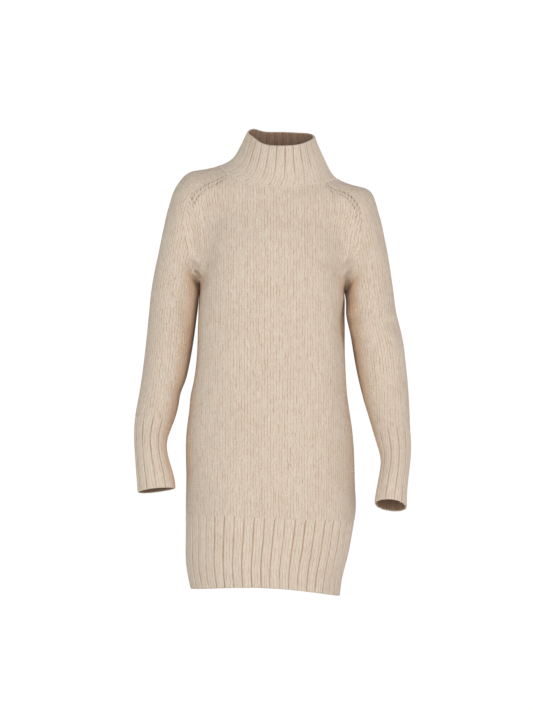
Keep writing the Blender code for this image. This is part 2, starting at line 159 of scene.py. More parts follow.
def fold_in_strips(skin):
    """Every point a short edge away from a seam moves into it, and at a corner into the corner."""
    skin.verts.index_update()
    rank = {v: len(pieces_at(v)) + v.is_boundary for v in skin.verts}
    into = {}
    for vert in skin.verts:
        near = [e.other_vert(vert) for e in vert.link_edges if e.calc_length() < EDGE_STRIP]
        near = [other for other in near if rank[other] > rank[vert]]
        if near:
            into[vert] = min(near, key=lambda other: (other.co - vert.co).length)
    for vert in list(into):
        while into[vert] in into:
            into[vert] = into[into[vert]]
    bmesh.ops.weld_verts(skin, targetmap=into)
    return len(into)


def collapse_slivers(skin):
    """Short edges inside one piece close up, so that no narrow face is left to fold over."""
    inner = {v for v in skin.verts if not v.is_boundary and len(pieces_at(v)) == 1}
    short = [e for e in skin.edges if e.calc_length() < SHORT_EDGE and inner.issuperset(e.verts)]
    bmesh.ops.collapse(skin, edges=short, uvs=False)
    return len(short)


def fill_corners(skin):
    """The small gaps where seams meet close, each with a face of a neighbour's piece that faces its way."""
    edges = [e for e in skin.edges if e.is_boundary]
    patches = bmesh.ops.holes_fill(skin, edges=edges, sides=HOLE_SIDES)["faces"]
    skin.normal_update()
    for patch in patches:
        beside = [f for e in patch.edges for f in e.link_faces if f not in patches]
        patch.material_index = max(f.material_index for f in beside)
        if sum((f.normal for f in beside), Vector()).dot(patch.normal) < 0:
            patch.normal_flip()
    return len(patches)


print("gaps of up to", HOLE_SIDES, "sides are filled")

# %% [markdown]
# The steps run on all nine skins at once. Faces that are two triangles of one quad are joined again at the
# end, because a subdivision surface flows best over quads.

# %% The skins welded into one
welded = bmesh.new()
for skin in skins:
    welded.from_mesh(skin)
bmesh.ops.remove_doubles(welded, verts=welded.verts, dist=SEAM_WELD)
folded = fold_in_strips(welded)
slivers = collapse_slivers(welded)
patched = fill_corners(welded)
print(f"{slivers} short edges closed up, {patched} corners filled")
bmesh.ops.join_triangles(
    welded, faces=welded.faces, angle_face_threshold=math.pi, angle_shape_threshold=math.pi
)
form_mesh = bpy.data.meshes.new("form")
welded.to_mesh(form_mesh)
welded.free()
form = bpy.data.objects.new("form", form_mesh)
bpy.context.collection.objects.link(form)
print(f"{folded} strip points folded in, {len(form_mesh.polygons)} faces left")

# %% [markdown]
# A subdivision surface rounds the flat faces into one flowing form. It also shrinks it a little, as it cuts
# every corner, so each point is first pushed out by as much as the rounding would pull it in.

# %% The form made smooth
SMOOTH_LEVELS = 3
MOST_PUSH = 0.0025


def points_of(mesh):
    """A mesh's points as rows of x, y, z."""
    flat = np.empty(3 * len(mesh.vertices), np.float32)
    mesh.vertices.foreach_get("co", flat)
    return flat.reshape(-1, 3).astype(float)


def evaluated_copy(obj):
    """The object's mesh as its modifiers leave it."""
    graph = bpy.context.evaluated_depsgraph_get()
    graph.update()
    return bpy.data.meshes.new_from_object(obj.evaluated_get(graph))


def unit(v):
    """Vectors made one long."""
    return v / np.maximum(np.linalg.norm(v, axis=-1, keepdims=True), 1e-12)


rounding = form.modifiers.new("rounding", "SUBSURF")
rounding.levels = rounding.render_levels = SMOOTH_LEVELS
rounding.boundary_smooth = "ALL"
corners = points_of(form_mesh)
push = corners - points_of(evaluated_copy(form))[: len(corners)]
size = np.linalg.norm(push, axis=1, keepdims=True)
push *= np.minimum(1, MOST_PUSH / np.maximum(size, 1e-9))
form_mesh.vertices.foreach_set("co", (corners + push).astype(np.float32).ravel())
form_mesh.update()
smooth = evaluated_copy(form)
bpy.data.objects.remove(form)
print(f"smooth form: {len(smooth.polygons)} faces, mean push {size.mean() * 1000:.1f} mm")

# %% [markdown]
# Worn cloth doesn't sit quite as the rounding leaves it. The shoulders are squarer, the funnel of the neck
# is narrower, the cuffs lie closer, and one corner of the collar stands up. Each row below eases the form a
# little round one place, and fades out smoothly, as a sculptor's grab brush does. The open end of the left
# sleeve is level instead of square to the arm, so it is sheared a little: its front edge down, its back up.

# %% The form eased to how it is worn
EASED = [
    # x, z, reach across, reach up, shift in x, shift in z, half (-1 front, 1 back, 0 both)
    (-0.103, 0.034, 0.030, 0.030, 0.007, -0.006, 0),
    (-0.187, -0.001, 0.030, 0.024, -0.003, 0.008, 0),
    (-0.233, -0.062, 0.024, 0.040, 0.006, 0.000, 0),
    (0.124, 0.008, 0.030, 0.030, -0.006, -0.006, 0),
    (0.189, -0.036, 0.030, 0.024, 0.003, 0.008, 0),
    (0.214, -0.080, 0.024, 0.040, -0.006, 0.000, 0),
    (-0.072, 0.082, 0.030, 0.034, 0.009, 0.015, 0),
    (0.078, 0.080, 0.026, 0.030, -0.003, 0.005, 0),
    (0.279, -0.640, 0.026, 0.075, -0.009, 0.000, 0),
    (-0.225, -0.640, 0.024, 0.045, 0.006, 0.000, 0),
    (-0.301, -0.640, 0.022, 0.060, 0.003, 0.000, 0),
    (-0.190, -0.820, 0.050, 0.060, -0.006, 0.000, 0),
    (0.150, -0.850, 0.050, 0.050, -0.005, 0.000, 0),
    (0.160, -0.700, 0.050, 0.040, 0.004, 0.000, 0),
    (0.149, -0.450, 0.030, 0.120, -0.003, 0.000, 0),
    (-0.201, -0.458, 0.020, 0.024, -0.005, 0.000, 0),
    (0.136, -0.310, 0.018, 0.045, -0.010, 0.000, -1),
    (0.148, -0.262, 0.012, 0.020, 0.004, 0.006, 0),
    (-0.152, -0.268, 0.016, 0.026, -0.005, 0.000, 1),
]
MIDDLE_Y = -0.004
HALF_BLEND = 0.030
LEVEL_AT = np.array((-0.257, -0.059, -0.665))
LEVEL_REACH = np.array((0.055, 0.060, 0.032))
LEVEL_SLOPE = 0.24


def ease(t):
    """From 0 to 1, slow at both ends."""
    t = np.clip(t, 0, 1)
    return t * t * (3 - 2 * t)


def eased(points):
    """The points moved by every row of the table, and the end of the left sleeve made level."""
    moved = points.copy()
    for x, z, across, up, shift_x, shift_z, half in EASED:
        share = np.exp(-(((points[:, 0] - x) / across) ** 2) - ((points[:, 2] - z) / up) ** 2)
        if half:
            share *= ease(0.5 + half * (points[:, 1] - MIDDLE_Y) / HALF_BLEND)
        moved += share[:, None] * np.array([shift_x, 0, shift_z])
    share = np.exp(-(((points - LEVEL_AT) / LEVEL_REACH) ** 2).sum(-1))
    moved[:, 2] += share * LEVEL_SLOPE * (points[:, 1] - LEVEL_AT[1])
    return moved


smooth.vertices.foreach_set("co", eased(points_of(smooth)).astype(np.float32).ravel())
smooth.update()
print(len(EASED), "places eased")

# %% [markdown]
# ## Where a stitch lies
# Knitting is a grid. Columns of stitches, the wales, run along a piece, and rows, the courses, run across
# it. To draw them, each point needs to know how far round and how far along its piece it lies, measured
# over the cloth itself. A middle line through each tube gives an angle and a place, and a fan of rays from
# that line out to the cloth gives the distances.

# %% A tube: a middle line, and rays out from it
LINE_STEPS = 160
DOUBLINGS = 5
LONGEST_RAY = 0.4
AT_ONCE = 4000


def travelled(points, axis=0):
    """The way from the first point to each one, along one axis of a line or grid of points."""
    steps = np.linalg.norm(np.diff(points, axis=axis), axis=-1)
    return np.insert(np.cumsum(steps, axis=axis), 0, 0, axis=axis)


def in_parts(points):
    """The points in parts small enough to compare each with every point of a line."""
    return np.array_split(points, max(1, len(points) // AT_ONCE))


def smooth_line(rows, count):
    """Points evenly spaced on a smooth line through a few rows."""
    rows = np.array(rows, float)
    for _ in range(DOUBLINGS):
        middle = (rows[:-1] + rows[1:]) / 2
        doubled = np.empty((len(rows) + len(middle), 3))
        doubled[::2], doubled[1::2] = rows, middle
        doubled[2:-2:2] = doubled[2:-2:2] / 2 + (doubled[1:-3:2] + doubled[3:-1:2]) / 4
        rows = doubled
    along = travelled(rows)
    even = np.linspace(0, along[-1], count)
    return np.stack([np.interp(even, along, column) for column in rows.T], -1), even


class Tube:
    """A middle line with a direction that its angles are counted from."""

    def __init__(self, rows, facing):
        self.line, self.along = smooth_line(rows, LINE_STEPS)
        self.ahead = unit(np.gradient(self.line, axis=0))
        facing = np.broadcast_to(np.array(facing, float), self.line.shape)
        self.facing = unit(facing - (facing * self.ahead).sum(-1, keepdims=True) * self.ahead)
        self.side = np.cross(self.ahead, self.facing)

    def place(self, points):
        """How far along the line each point lies, and at which angle round it."""
        places, angles = [], []
        for part in in_parts(points):
            gaps = np.linalg.norm(part[:, None] - self.line, axis=-1)
            near = gaps.argmin(1)
            offset = part - self.line[near]
            places.append(self.along[near] + (offset * self.ahead[near]).sum(-1))
            side, facing = (offset * self.side[near]).sum(-1), (offset * self.facing[near]).sum(-1)
            angles.append(np.arctan2(side, facing))
        return np.concatenate(places), np.concatenate(angles)

    def ray(self, place, angle):
        """Where a ray starts on the line, and which way it goes."""
        start, facing, side = (
            np.stack([np.interp(place, self.along, column) for column in table.T], -1)
            for table in (self.line, self.facing, self.side)
        )
        return start, unit(np.cos(angle)[..., None] * facing + np.sin(angle)[..., None] * side)

    def reach(self, tree, place, angle):
        """How far out the cloth is at each place and angle, or NaN where a ray meets none."""
        start, out = self.ray(place, angle)
        flat = zip(start.reshape(-1, 3), out.reshape(-1, 3))
        found = [tree.ray_cast(Vector(a), Vector(b), LONGEST_RAY)[3] for a, b in flat]
        found = np.array([np.nan if one is None else one for one in found], float)
        return found.reshape(start.shape[:-1])

    def points(self, tree, place, angle):
        """The points of the cloth at each place and angle."""
        start, out = self.ray(place, angle)
        reach = self.reach(tree, place, angle)
        return start + filled(reach)[..., None] * out


def filled(table):
    """A table with its gaps filled from beside them, and its empty rows from the nearest full one."""
    table = np.atleast_2d(table.copy())
    across = np.arange(table.shape[1])
    whole = [row for row in range(len(table)) if np.isfinite(table[row]).any()]
    for row in whole:
        known = np.isfinite(table[row])
        table[row] = np.interp(across, across[known], table[row, known])
    for row in range(len(table)):
        if row not in whole:
            table[row] = table[min(whole, key=lambda other: abs(other - row))]
    return table


print(f"a middle line has {LINE_STEPS} steps")

# %% [markdown]
# A net of such rays is laid over the whole tube once. Distances are added up over its meshes, and each
# point of the cloth then reads its own from the net. The stitch map is a UV map: wales across, courses
# along. It belongs to face corners, so that a face over the join of a ring isn't squeezed or turned back.

# %% Distances measured over the cloth
FAN_ANGLES = 121
FAN_PLACES = 70


def between(table, rows, columns, row, column):
    """A table's value at any row and column between its own."""
    r = np.clip(np.interp(row, rows, np.arange(len(rows))), 0, len(rows) - 1.001)
    c = np.clip(np.interp(column, columns, np.arange(len(columns))), 0, len(columns) - 1.001)
    r0, c0 = r.astype(int), c.astype(int)
    fr, fc = r - r0, c - c0
    low = table[r0, c0] * (1 - fc) + table[r0, c0 + 1] * fc
    high = table[r0 + 1, c0] * (1 - fc) + table[r0 + 1, c0 + 1] * fc
    return low * (1 - fr) + high * fr


def cloth_distances(tube, points):
    """How far round from angle 0 and how far along each point lies, its ring's length, and its angle."""
    place, angle = tube.place(points)
    places = np.linspace(place.min(), place.max(), FAN_PLACES)
    angles = np.linspace(-math.pi, math.pi, FAN_ANGLES)
    grid = tube.points(whole_form, *np.meshgrid(places, angles, indexing="ij"))
    around, along = travelled(grid, axis=1), travelled(grid, axis=0)
    ring = np.interp(place, places, around[:, -1])
    around -= around[:, FAN_ANGLES // 2][:, None]
    round_it, down_it = (between(table, places, angles, place, angle) for table in (around, along))
    return round_it, down_it, ring, angle


def corner_map(faces, around, along, ring, angle):
    """The stitch map per face corner. A face over the join of the ring takes it as one stretch."""
    rows = []
    for face in faces:
        crosses = np.ptp(angle[face]) > math.pi
        turn = ring[face] * (crosses & (angle[face] < 0))
        rows.append(np.stack([(around[face] + turn) / WALE, along[face] / COURSE], -1))
    return np.concatenate(rows)


def skin_of(names):
    """The points and faces of some pieces of the smooth form, and which points of the form they are."""
    numbers = [PIECES.index(name) for name in names]
    faces = [tuple(p.vertices) for p in smooth.polygons if p.material_index in numbers]
    used = np.unique(np.concatenate([np.array(face) for face in faces]))
    place = {int(old): new for new, old in enumerate(used)}
    faces = [[place[v] for v in face] for face in faces]
    points = smooth_points[used]
    return points, faces, used


smooth_points = points_of(smooth)
whole_form = BVHTree.FromPolygons(smooth_points.tolist(), [tuple(p.vertices) for p in smooth.polygons])
normals_flat = np.empty(3 * len(smooth.vertices), np.float32)
smooth.vertices.foreach_get("normal", normals_flat)
smooth_normals = normals_flat.reshape(-1, 3).astype(float)
print("the smooth form spans", (np.ptp(smooth_points, axis=0) * 1000).round(), "mm")

# %% [markdown]
# ## The middle lines
# The trunk, the collar and the hem share an upright line. Each sleeve has its own, from inside the neck,
# over the shoulder and down to the wrist.

# %% The middle lines
TRUNK_X = -0.018
WALE = 0.0060
COURSE = 0.0044
SLEEVE_LINE = {
    "left": [
        # x, y, z
        (-0.045, -0.003, -0.042), (-0.105, -0.003, -0.038), (-0.150, -0.003, -0.040),
        (-0.182, -0.003, -0.064), (-0.194, -0.003, -0.105), (-0.203, -0.003, -0.160),
        (-0.216, -0.003, -0.235), (-0.2235, 0.000, -0.300), (-0.235, 0.002, -0.386),
        (-0.251, -0.010, -0.470), (-0.2625, -0.020, -0.512), (-0.270, -0.030, -0.560),
        (-0.267, -0.040, -0.600), (-0.2625, -0.050, -0.640), (-0.259, -0.059, -0.680),
    ],
    "right": [
        # x, y, z
        (0.045, -0.003, -0.064), (0.095, -0.003, -0.063), (0.135, -0.003, -0.066),
        (0.162, -0.003, -0.087), (0.173, -0.003, -0.128), (0.182, -0.003, -0.182),
        (0.188, -0.003, -0.240), (0.1985, 0.002, -0.306), (0.213, 0.003, -0.386),
        (0.223, -0.008, -0.450), (0.233, -0.024, -0.512), (0.242, -0.042, -0.560),
        (0.2475, -0.054, -0.590), (0.244, -0.068, -0.630), (0.236, -0.084, -0.675),
        (0.2325, -0.093, -0.710),
    ],
}
UPRIGHT = {
    "trunk": [(TRUNK_X, -0.004, -0.90), (TRUNK_X, -0.004, 0.04)],
    "collar": [(0.0008, -0.010, -0.05), (0.0008, -0.010, 0.12)],
}
tubes = {
    "front": Tube(UPRIGHT["trunk"], (0, -1, 0)),
    "back": Tube(UPRIGHT["trunk"], (0, 1, 0)),
    "collar": Tube(UPRIGHT["collar"], (0, -1, 0)),
    "left": Tube(SLEEVE_LINE["left"][::-1], (-1, 0, 0)),
    "right": Tube(SLEEVE_LINE["right"][::-1], (1, 0, 0)),
}
print("sleeves from neck to wrist:", {s: round(float(tubes[s].along[-1]), 3) for s in ("left", "right")})

# %% [markdown]
# ## Soft creases
# Heavy wool folds softly, where the cloth is drawn in: from each underarm across the chest, at the elbows,
# and where a sleeve settles on its cuff. Each crease is a trough with a low ridge beside it, between two
# points as seen from in front or from behind. Placing them one by one keeps each where it belongs.

# %% Creases
CREASES = [
    # facing, x start, z start, x end, z end, depth, half width
    (-1, -0.160, -0.229, -0.187, -0.181, 0.0032, 0.009),
    (-1, -0.202, -0.265, -0.195, -0.315, 0.0018, 0.010),
    (-1, -0.212, -0.560, -0.262, -0.520, 0.0014, 0.010),
    (-1, 0.137, -0.243, 0.153, -0.186, 0.0020, 0.007),
    (-1, 0.149, -0.240, 0.176, -0.198, 0.0014, 0.008),
    (-1, 0.152, -0.307, 0.190, -0.284, 0.0024, 0.011),
    (-1, 0.264, -0.336, 0.215, -0.300, 0.0026, 0.010),
    (-1, -0.045, -0.880, -0.072, -0.700, 0.0022, 0.016),
    (-1, 0.008, -0.890, 0.020, -0.760, 0.0012, 0.014),
    (1, -0.170, -0.215, -0.118, -0.160, 0.0028, 0.013),
    (1, 0.140, -0.222, 0.090, -0.165, 0.0028, 0.013),
    (1, -0.130, -0.430, 0.060, -0.405, 0.0020, 0.022),
    (1, -0.100, -0.470, 0.090, -0.450, 0.0018, 0.020),
    (1, 0.030, -0.890, 0.050, -0.740, 0.0020, 0.016),
    (1, 0.250, -0.350, 0.200, -0.318, 0.0022, 0.011),
    (1, -0.260, -0.355, -0.215, -0.322, 0.0022, 0.011),
]
RIDGE_HEIGHT = 0.35
RIDGE_PLACE = 1.9
CREASE_TAPER = 0.5


def crease_depth(points, normals):
    """How far each point sinks, or rises where it is below 0."""
    depth = np.zeros(len(points))
    for facing, x_start, z_start, x_end, z_end, deep, half_width in CREASES:
        start, run = np.array([x_start, z_start]), np.array([x_end - x_start, z_end - z_start])
        offset = points[:, [0, 2]] - start
        share = (offset * run).sum(-1) / (run * run).sum()
        length = np.linalg.norm(run)
        past = np.maximum(np.maximum(-share, share - 1), 0) * length
        across = (offset @ np.array([-run[1], run[0]])) / length
        away = np.hypot(across, past) / half_width
        shape = np.exp(-away**2) - RIDGE_HEIGHT * np.exp(-((away - RIDGE_PLACE) ** 2))
        facing_it = ease(2.5 * facing * normals[:, 1])
        depth += deep * shape * facing_it * (1 - CREASE_TAPER * np.clip(share, 0, 1))
    return depth


print(len(CREASES), "creases placed")

# %% [markdown]
# ## Painted shade in the hollows
# Light that reaches the bottom of a fold has passed from fibre to fibre, and turns warmer each time, so the
# hollows of wool look brown and not grey. A fan of short rays from each point of the form tells how much
# of its view is blocked by other cloth. That share is kept, and the material paints shade into the colour by
# it, warm first and then deep brown.

# %% How hidden each point is
SHADE_RAYS = 26
SHADE_REACH = 0.090
SHADE_LIFT = 0.0015
SHADE_NEAR = 3


def fan_of(count):
    """Even directions over a half ball round +Z, crowded towards its top as falling light is."""
    number = np.arange(count) + 0.5
    turn = number * math.pi * (3 - math.sqrt(5))
    up = np.sqrt(1 - number / count)
    flat = np.sqrt(1 - up**2)
    return np.stack([flat * np.cos(turn), flat * np.sin(turn), up], -1)


def hidden_share(points, normals):
    """The share of each point's view that other cloth blocks."""
    fan = fan_of(SHADE_RAYS)
    aside = unit(np.cross(normals, np.where(np.abs(normals[:, 2:]) < 0.9, [[0, 0, 1]], [[1, 0, 0]])))
    other = np.cross(normals, aside)
    shares = np.zeros(len(points))
    for ray in fan:
        ways = ray[0] * aside + ray[1] * other + ray[2] * normals
        starts = points + SHADE_LIFT * normals
        for index, (start, way) in enumerate(zip(starts.tolist(), ways.tolist())):
            if whole_form.ray_cast(start, way, SHADE_REACH)[3] is not None:
                shares[index] += 1 / SHADE_RAYS
    return shares


smooth_shade = hidden_share(smooth_points, smooth_normals)
shade_tree = KDTree(len(smooth_points))
for index, point in enumerate(smooth_points):
    shade_tree.insert(point, index)
shade_tree.balance()


def shade_at(points):
    """The shade of the form's nearest points, weighed by how near they are."""
    found = np.zeros(len(points))
    for place, point in enumerate(points.tolist()):
        near = shade_tree.find_n(point, SHADE_NEAR)
        weights = np.array([1 / (gap + 1e-4) for _, _, gap in near])
        found[place] = (weights * smooth_shade[[index for _, index, _ in near]]).sum() / weights.sum()
    return found


print(f"shade: mean {smooth_shade.mean():.3f}, most {smooth_shade.max():.2f}")

# %% [markdown]
# ## Wool, as a material
# Stocking stitch shows as columns of small Vs. Each V has two legs of soft yarn that meet at the middle of
# the wale, and slits lie between the wales, painted darker as painted shade. The stitch map counts wales
# across and courses along, so the pattern needs only the fractions of those counts. It is a node group,
# since the plain cloth and the ribs both show it. Node trees grow long, so they are written here as sums,
# with one short method for each kind of node.

# %% Node trees written as sums
class Sums:
    """Nodes of one tree, written as sums."""

    def __init__(self, tree):
        self.tree = tree

    def node(self, kind, **settings):
        """A shader node with some settings."""
        made = self.tree.nodes.new("ShaderNode" + kind)
        for key, value in settings.items():
            setattr(made, key, value)
        return made

    def feed(self, socket, value):
        """A link into a socket or, for a plain value, the value itself."""
        if isinstance(value, bpy.types.NodeSocket):
            self.tree.links.new(value, socket)
        else:
            socket.default_value = value

    def math(self, operation, *values, clamp=False):
        """The result of one sum."""
        made = self.node("Math", operation=operation, use_clamp=clamp)
        for socket, value in zip(made.inputs, values):
            self.feed(socket, value)
        return made.outputs[0]

    def times(self, one, other):
        return self.math("MULTIPLY", one, other)

    def plus(self, one, other):
        return self.math("ADD", one, other)

    def minus(self, one, other):
        return self.math("SUBTRACT", one, other)

    def power(self, one, other):
        return self.math("POWER", one, other)

    def arch(self, value):
        """0 where the value is 0 or 1, and 1 halfway between."""
        return self.times(self.times(value, self.minus(1.0, value)), 4.0)

    def ramp(self, value, slope, start):
        """value * slope + start, held between 0 and 1."""
        return self.math("MULTIPLY_ADD", value, slope, start, clamp=True)

    def mix(self, share, first, second):
        """Two colours mixed by a share of the second."""
        made = self.node("Mix", data_type="RGBA")
        colours = [socket for socket in made.inputs if socket.type == "RGBA"]
        self.feed(made.inputs["Factor"], share)
        self.feed(colours[0], first)
        self.feed(colours[1], second)
        return next(socket for socket in made.outputs if socket.type == "RGBA")

    def noise(self, where, scale, detail, roughness=0.5):
        """Soft noise from 0 to 1."""
        made = self.node("TexNoise")
        self.feed(made.inputs["Vector"], where)
        self.feed(made.inputs["Scale"], scale)
        made.inputs["Detail"].default_value = detail
        made.inputs["Roughness"].default_value = roughness
        return made.outputs["Fac"]

    def group(self, tree, **values):
        """A group node with its inputs fed by name."""
        made = self.node("Group", node_tree=tree)
        for name, value in values.items():
            self.feed(made.inputs[name], value)
        return made.outputs


def shader_group(name, inputs, outputs):
    """An empty group with named sockets, and the Sums to fill it with."""
    tree = bpy.data.node_groups.new(name, "ShaderNodeTree")
    for label, kind, value in inputs:
        socket = tree.interface.new_socket(label, in_out="INPUT", socket_type="NodeSocket" + kind)
        if value is not None:
            socket.default_value = value
    for label, kind in outputs:
        tree.interface.new_socket(label, in_out="OUTPUT", socket_type="NodeSocket" + kind)
    start, end = tree.nodes.new("NodeGroupInput"), tree.nodes.new("NodeGroupOutput")
    return tree, Sums(tree), start.outputs, end.inputs


print("one class writes every material")

# %% [markdown]
# Three groups follow. The first is the stitches, the second the fashioning marks: two staggered rows of
# small slanted holes beside a seam, where the knitter moved stitches inwards to narrow the piece. The holes
# are sunk a little by the bump and painted dark, as painted shade in them. The third is the heather, fibres
# of slightly different colours from the size of a hand down to a single fibre. A noise's scale counts its
# features in one metre.

# %% The stitches
WAVER, LEG_LEAN = 0.75, 0.6
DRAWN_OUT = (1.0, 1.0, 0.3)  # noise is stretched down the wales
WANDER_SCALE, FINE_WANDER_SCALE, STRENGTH_SCALE = 60.0, 330.0, 150.0
FINE_SHARE, COURSE_SWAY = 0.8, 1.4
LEG_SLIT, ROW_SLIT = 0.35, 0.25
COURSES_ALIKE = 7.0

stitch_group, s, given, gives = shader_group(
    "knit_stitches",
    [("Stitch", "Vector", None), ("Place", "Vector", None), ("Waver", "Float", WAVER),
     ("Lean", "Float", LEG_LEAN)],
    [("Height", "Float"), ("Slit", "Float"), ("Tone", "Float")],
)
parts = s.node("SeparateXYZ")
s.feed(parts.inputs[0], given["Stitch"])
drawn_out = s.node("VectorMath", operation="MULTIPLY")
s.feed(drawn_out.inputs[0], given["Place"])
drawn_out.inputs[1].default_value = DRAWN_OUT
long_place = drawn_out.outputs[0]
wander = s.minus(s.noise(long_place, WANDER_SCALE, 2.0), 0.5)
fine_wander = s.minus(s.noise(long_place, FINE_WANDER_SCALE, 1.0), 0.5)
sway = s.times(s.plus(wander, s.times(fine_wander, FINE_SHARE)), given["Waver"])
wale = s.plus(parts.outputs["X"], sway)
course = s.plus(parts.outputs["Y"], s.times(sway, COURSE_SWAY))
off_middle = s.times(s.math("ABSOLUTE", s.minus(s.math("FRACT", wale), 0.5)), 2.0)
leg = s.arch(off_middle)
turn = s.math("FRACT", s.minus(course, s.times(off_middle, given["Lean"])))
bead = s.arch(turn)
height = s.times(s.power(leg, 0.6), s.math("MULTIPLY_ADD", bead, 0.5, 0.5))
s.feed(gives["Height"], height)
strength = s.ramp(s.noise(long_place, STRENGTH_SCALE, 2.0), 3.2, -0.95)
# The Slit output is painted shade: how dark the gaps between wales, legs and rows are painted.
between_wales = s.times(s.power(off_middle, 3.0), s.math("MULTIPLY_ADD", strength, 0.8, 0.2))
between_legs = s.times(s.power(s.minus(1.0, off_middle), 8.0), LEG_SLIT)
between_rows = s.times(s.power(s.minus(1.0, bead), 4.0), ROW_SLIT)
slit_shade = s.math("MAXIMUM", s.math("MAXIMUM", between_wales, between_legs), between_rows)
s.feed(gives["Slit"], slit_shade)
cell = s.node("CombineXYZ")
s.feed(cell.inputs["X"], s.math("FLOOR", wale))
s.feed(cell.inputs["Y"], s.math("FLOOR", s.math("DIVIDE", course, COURSES_ALIKE)))
lot = s.node("TexWhiteNoise", noise_dimensions="2D")
s.feed(lot.inputs["Vector"], cell.outputs[0])
s.feed(gives["Tone"], lot.outputs["Value"])
print("stitches:", len(stitch_group.nodes), "nodes")

# %% The fashioning marks
MARK_PITCH = 0.0100
MARK_LENGTH = 0.0070
MARK_WIDTH = 0.0022
MARK_LEAN = 0.55
MARK_ROWS = [(0.0030, 0.0), (0.0120, 0.5)]  # distance from the seam, shift as a share of the pitch
MARKS_RUN, FADE_IN, FADE_OUT = 0.140, 0.008, 0.045
SHAKE, SHAKE_SCALE, FAINT_SCALE = 0.0018, 260.0, 95.0

marks_group, s, given, gives = shader_group(
    "fashioning_marks",
    [("Gap", "Float", 1.0), ("Run", "Float", 1.0), ("Place", "Vector", None),
     ("Pitch", "Float", MARK_PITCH), ("Lean", "Float", MARK_LEAN)],
    [("Mark", "Float"), ("Lip", "Float")],
)
shaky = s.times(s.minus(s.noise(given["Place"], SHAKE_SCALE, 1.0), 0.5), SHAKE)
marks = []
for row_gap, stagger in MARK_ROWS:
    turns = s.plus(s.math("DIVIDE", given["Run"], given["Pitch"]), stagger)
    ahead = s.times(s.minus(s.math("FRACT", turns), 0.5), given["Pitch"])
    aside = s.minus(s.plus(given["Gap"], shaky), row_gap)
    across = s.minus(aside, s.times(ahead, given["Lean"]))
    long_way = s.power(s.math("DIVIDE", ahead, MARK_LENGTH / 2), 2.0)
    short_way = s.power(s.math("DIVIDE", across, MARK_WIDTH / 2), 2.0)
    marks.append(s.plus(long_way, short_way))
nearer = s.math("MINIMUM", *marks)
top = s.ramp(given["Run"], 1 / FADE_IN, -0.4)
tail = s.ramp(given["Run"], -1 / FADE_OUT, MARKS_RUN / FADE_OUT)
faint = s.ramp(s.noise(given["Place"], FAINT_SCALE, 1.0), 2.6, -0.62)
showing = s.times(s.times(top, tail), faint)
s.feed(gives["Mark"], s.times(s.ramp(nearer, -0.9, 1.45), showing))
s.feed(gives["Lip"], s.times(s.ramp(nearer, -0.25, 1.0), showing))
print("marks:", len(marks_group.nodes), "nodes")

# %% The heather
HAND_SCALE, TUFT_SCALE, LOOP_SCALE, FIBRE_SCALE, SPECK_SCALE = 9.0, 130.0, 330.0, 1300.0, 520.0
HAND_SHARE, TUFT_SHARE, LOOP_SHARE, SPECK_SHARE = 0.3, 0.4, 0.5, 0.5

heather_group, s, given, gives = shader_group(
    "wool_heather",
    [("Place", "Vector", None), ("Pale", "Color", (1, 1, 1, 1)), ("Deep", "Color", (1, 1, 1, 1)),
     ("Fleck", "Color", (1, 1, 1, 1))],
    [("Color", "Color"), ("Nap", "Float")],
)
hand = s.noise(given["Place"], HAND_SCALE, 3.0, 0.55)
tuft = s.noise(given["Place"], TUFT_SCALE, 3.0, 0.6)
fibre = s.noise(given["Place"], FIBRE_SCALE, 2.0, 0.7)
loop = s.noise(given["Place"], LOOP_SCALE, 2.0, 0.6)
blend = s.plus(s.times(hand, HAND_SHARE), s.times(tuft, TUFT_SHARE))
blend = s.plus(blend, s.times(loop, LOOP_SHARE))
blend = s.ramp(blend, 2.4, -0.8)
ground = s.mix(blend, given["Deep"], given["Pale"])
specks = s.ramp(s.noise(given["Place"], SPECK_SCALE, 1.0), 7.0, -4.5)
s.feed(gives["Color"], s.mix(s.times(specks, SPECK_SHARE), ground, given["Fleck"]))
s.feed(gives["Nap"], s.math("MULTIPLY_ADD", fibre, 0.6, s.times(tuft, 0.4)))
print("heather:", len(heather_group.nodes), "nodes")

# %% [markdown]
# The shader itself stays in each material. Wool is rough, with a soft bloom where its nap catches the light
# at a low angle, which is what sheen gives. The bump lifts the yarn, and its height is the real one. Masks
# on the pieces tell the material where the furrows of the ribs, the hollows, the inner side of the cloth
# and the seams are. Shade is painted into the colour by them: the slits between stitches, the furrows, the
# holes and the inner side are painted darker, and hollows are painted warm first, and then deep brown.

# %% Materials
WOOL = {
    "Pale": (0.700, 0.618, 0.528, 1),
    "Deep": (0.575, 0.495, 0.412, 1),
    "Fleck": (0.620, 0.480, 0.350, 1),
}
WOOL_SHADER = {"Roughness": 0.92, "Specular IOR Level": 0.18, "Sheen Weight": 0.12}
KNIT_SHADER = {"Sheen Roughness": 0.45, "Sheen Tint": (1.0, 0.95, 0.88, 1)}
# Colours of painted shade: in the slits between stitches, in the rib furrows, in hollows, in deep hollows and
# on the inner side, and in holes.
SLIT_SHADE_COLOUR = (0.430, 0.250, 0.140, 1)
FURROW_SHADE_COLOUR = (0.480, 0.285, 0.155, 1)
WARM_SHADE = (0.660, 0.440, 0.285, 1)
DEEP_SHADE = (0.200, 0.088, 0.038, 1)
HOLE_SHADE_COLOUR = (0.260, 0.125, 0.058, 1)
TONE_SHARE, FURROW_SHADE_SHARE, WARM_SHARE, DEEP_SHARE, HOLE_SHADE_SHARE = 0.18, 0.65, 0.62, 0.85, 0.85
INNER_SHADE_SHARE = 0.68
HOLE_DROP, LIP_RISE, NAP_RISE = 1.5, 0.8, 0.5
BUMP_DEPTH, YARN_BUMP = 0.0011, 0.0004
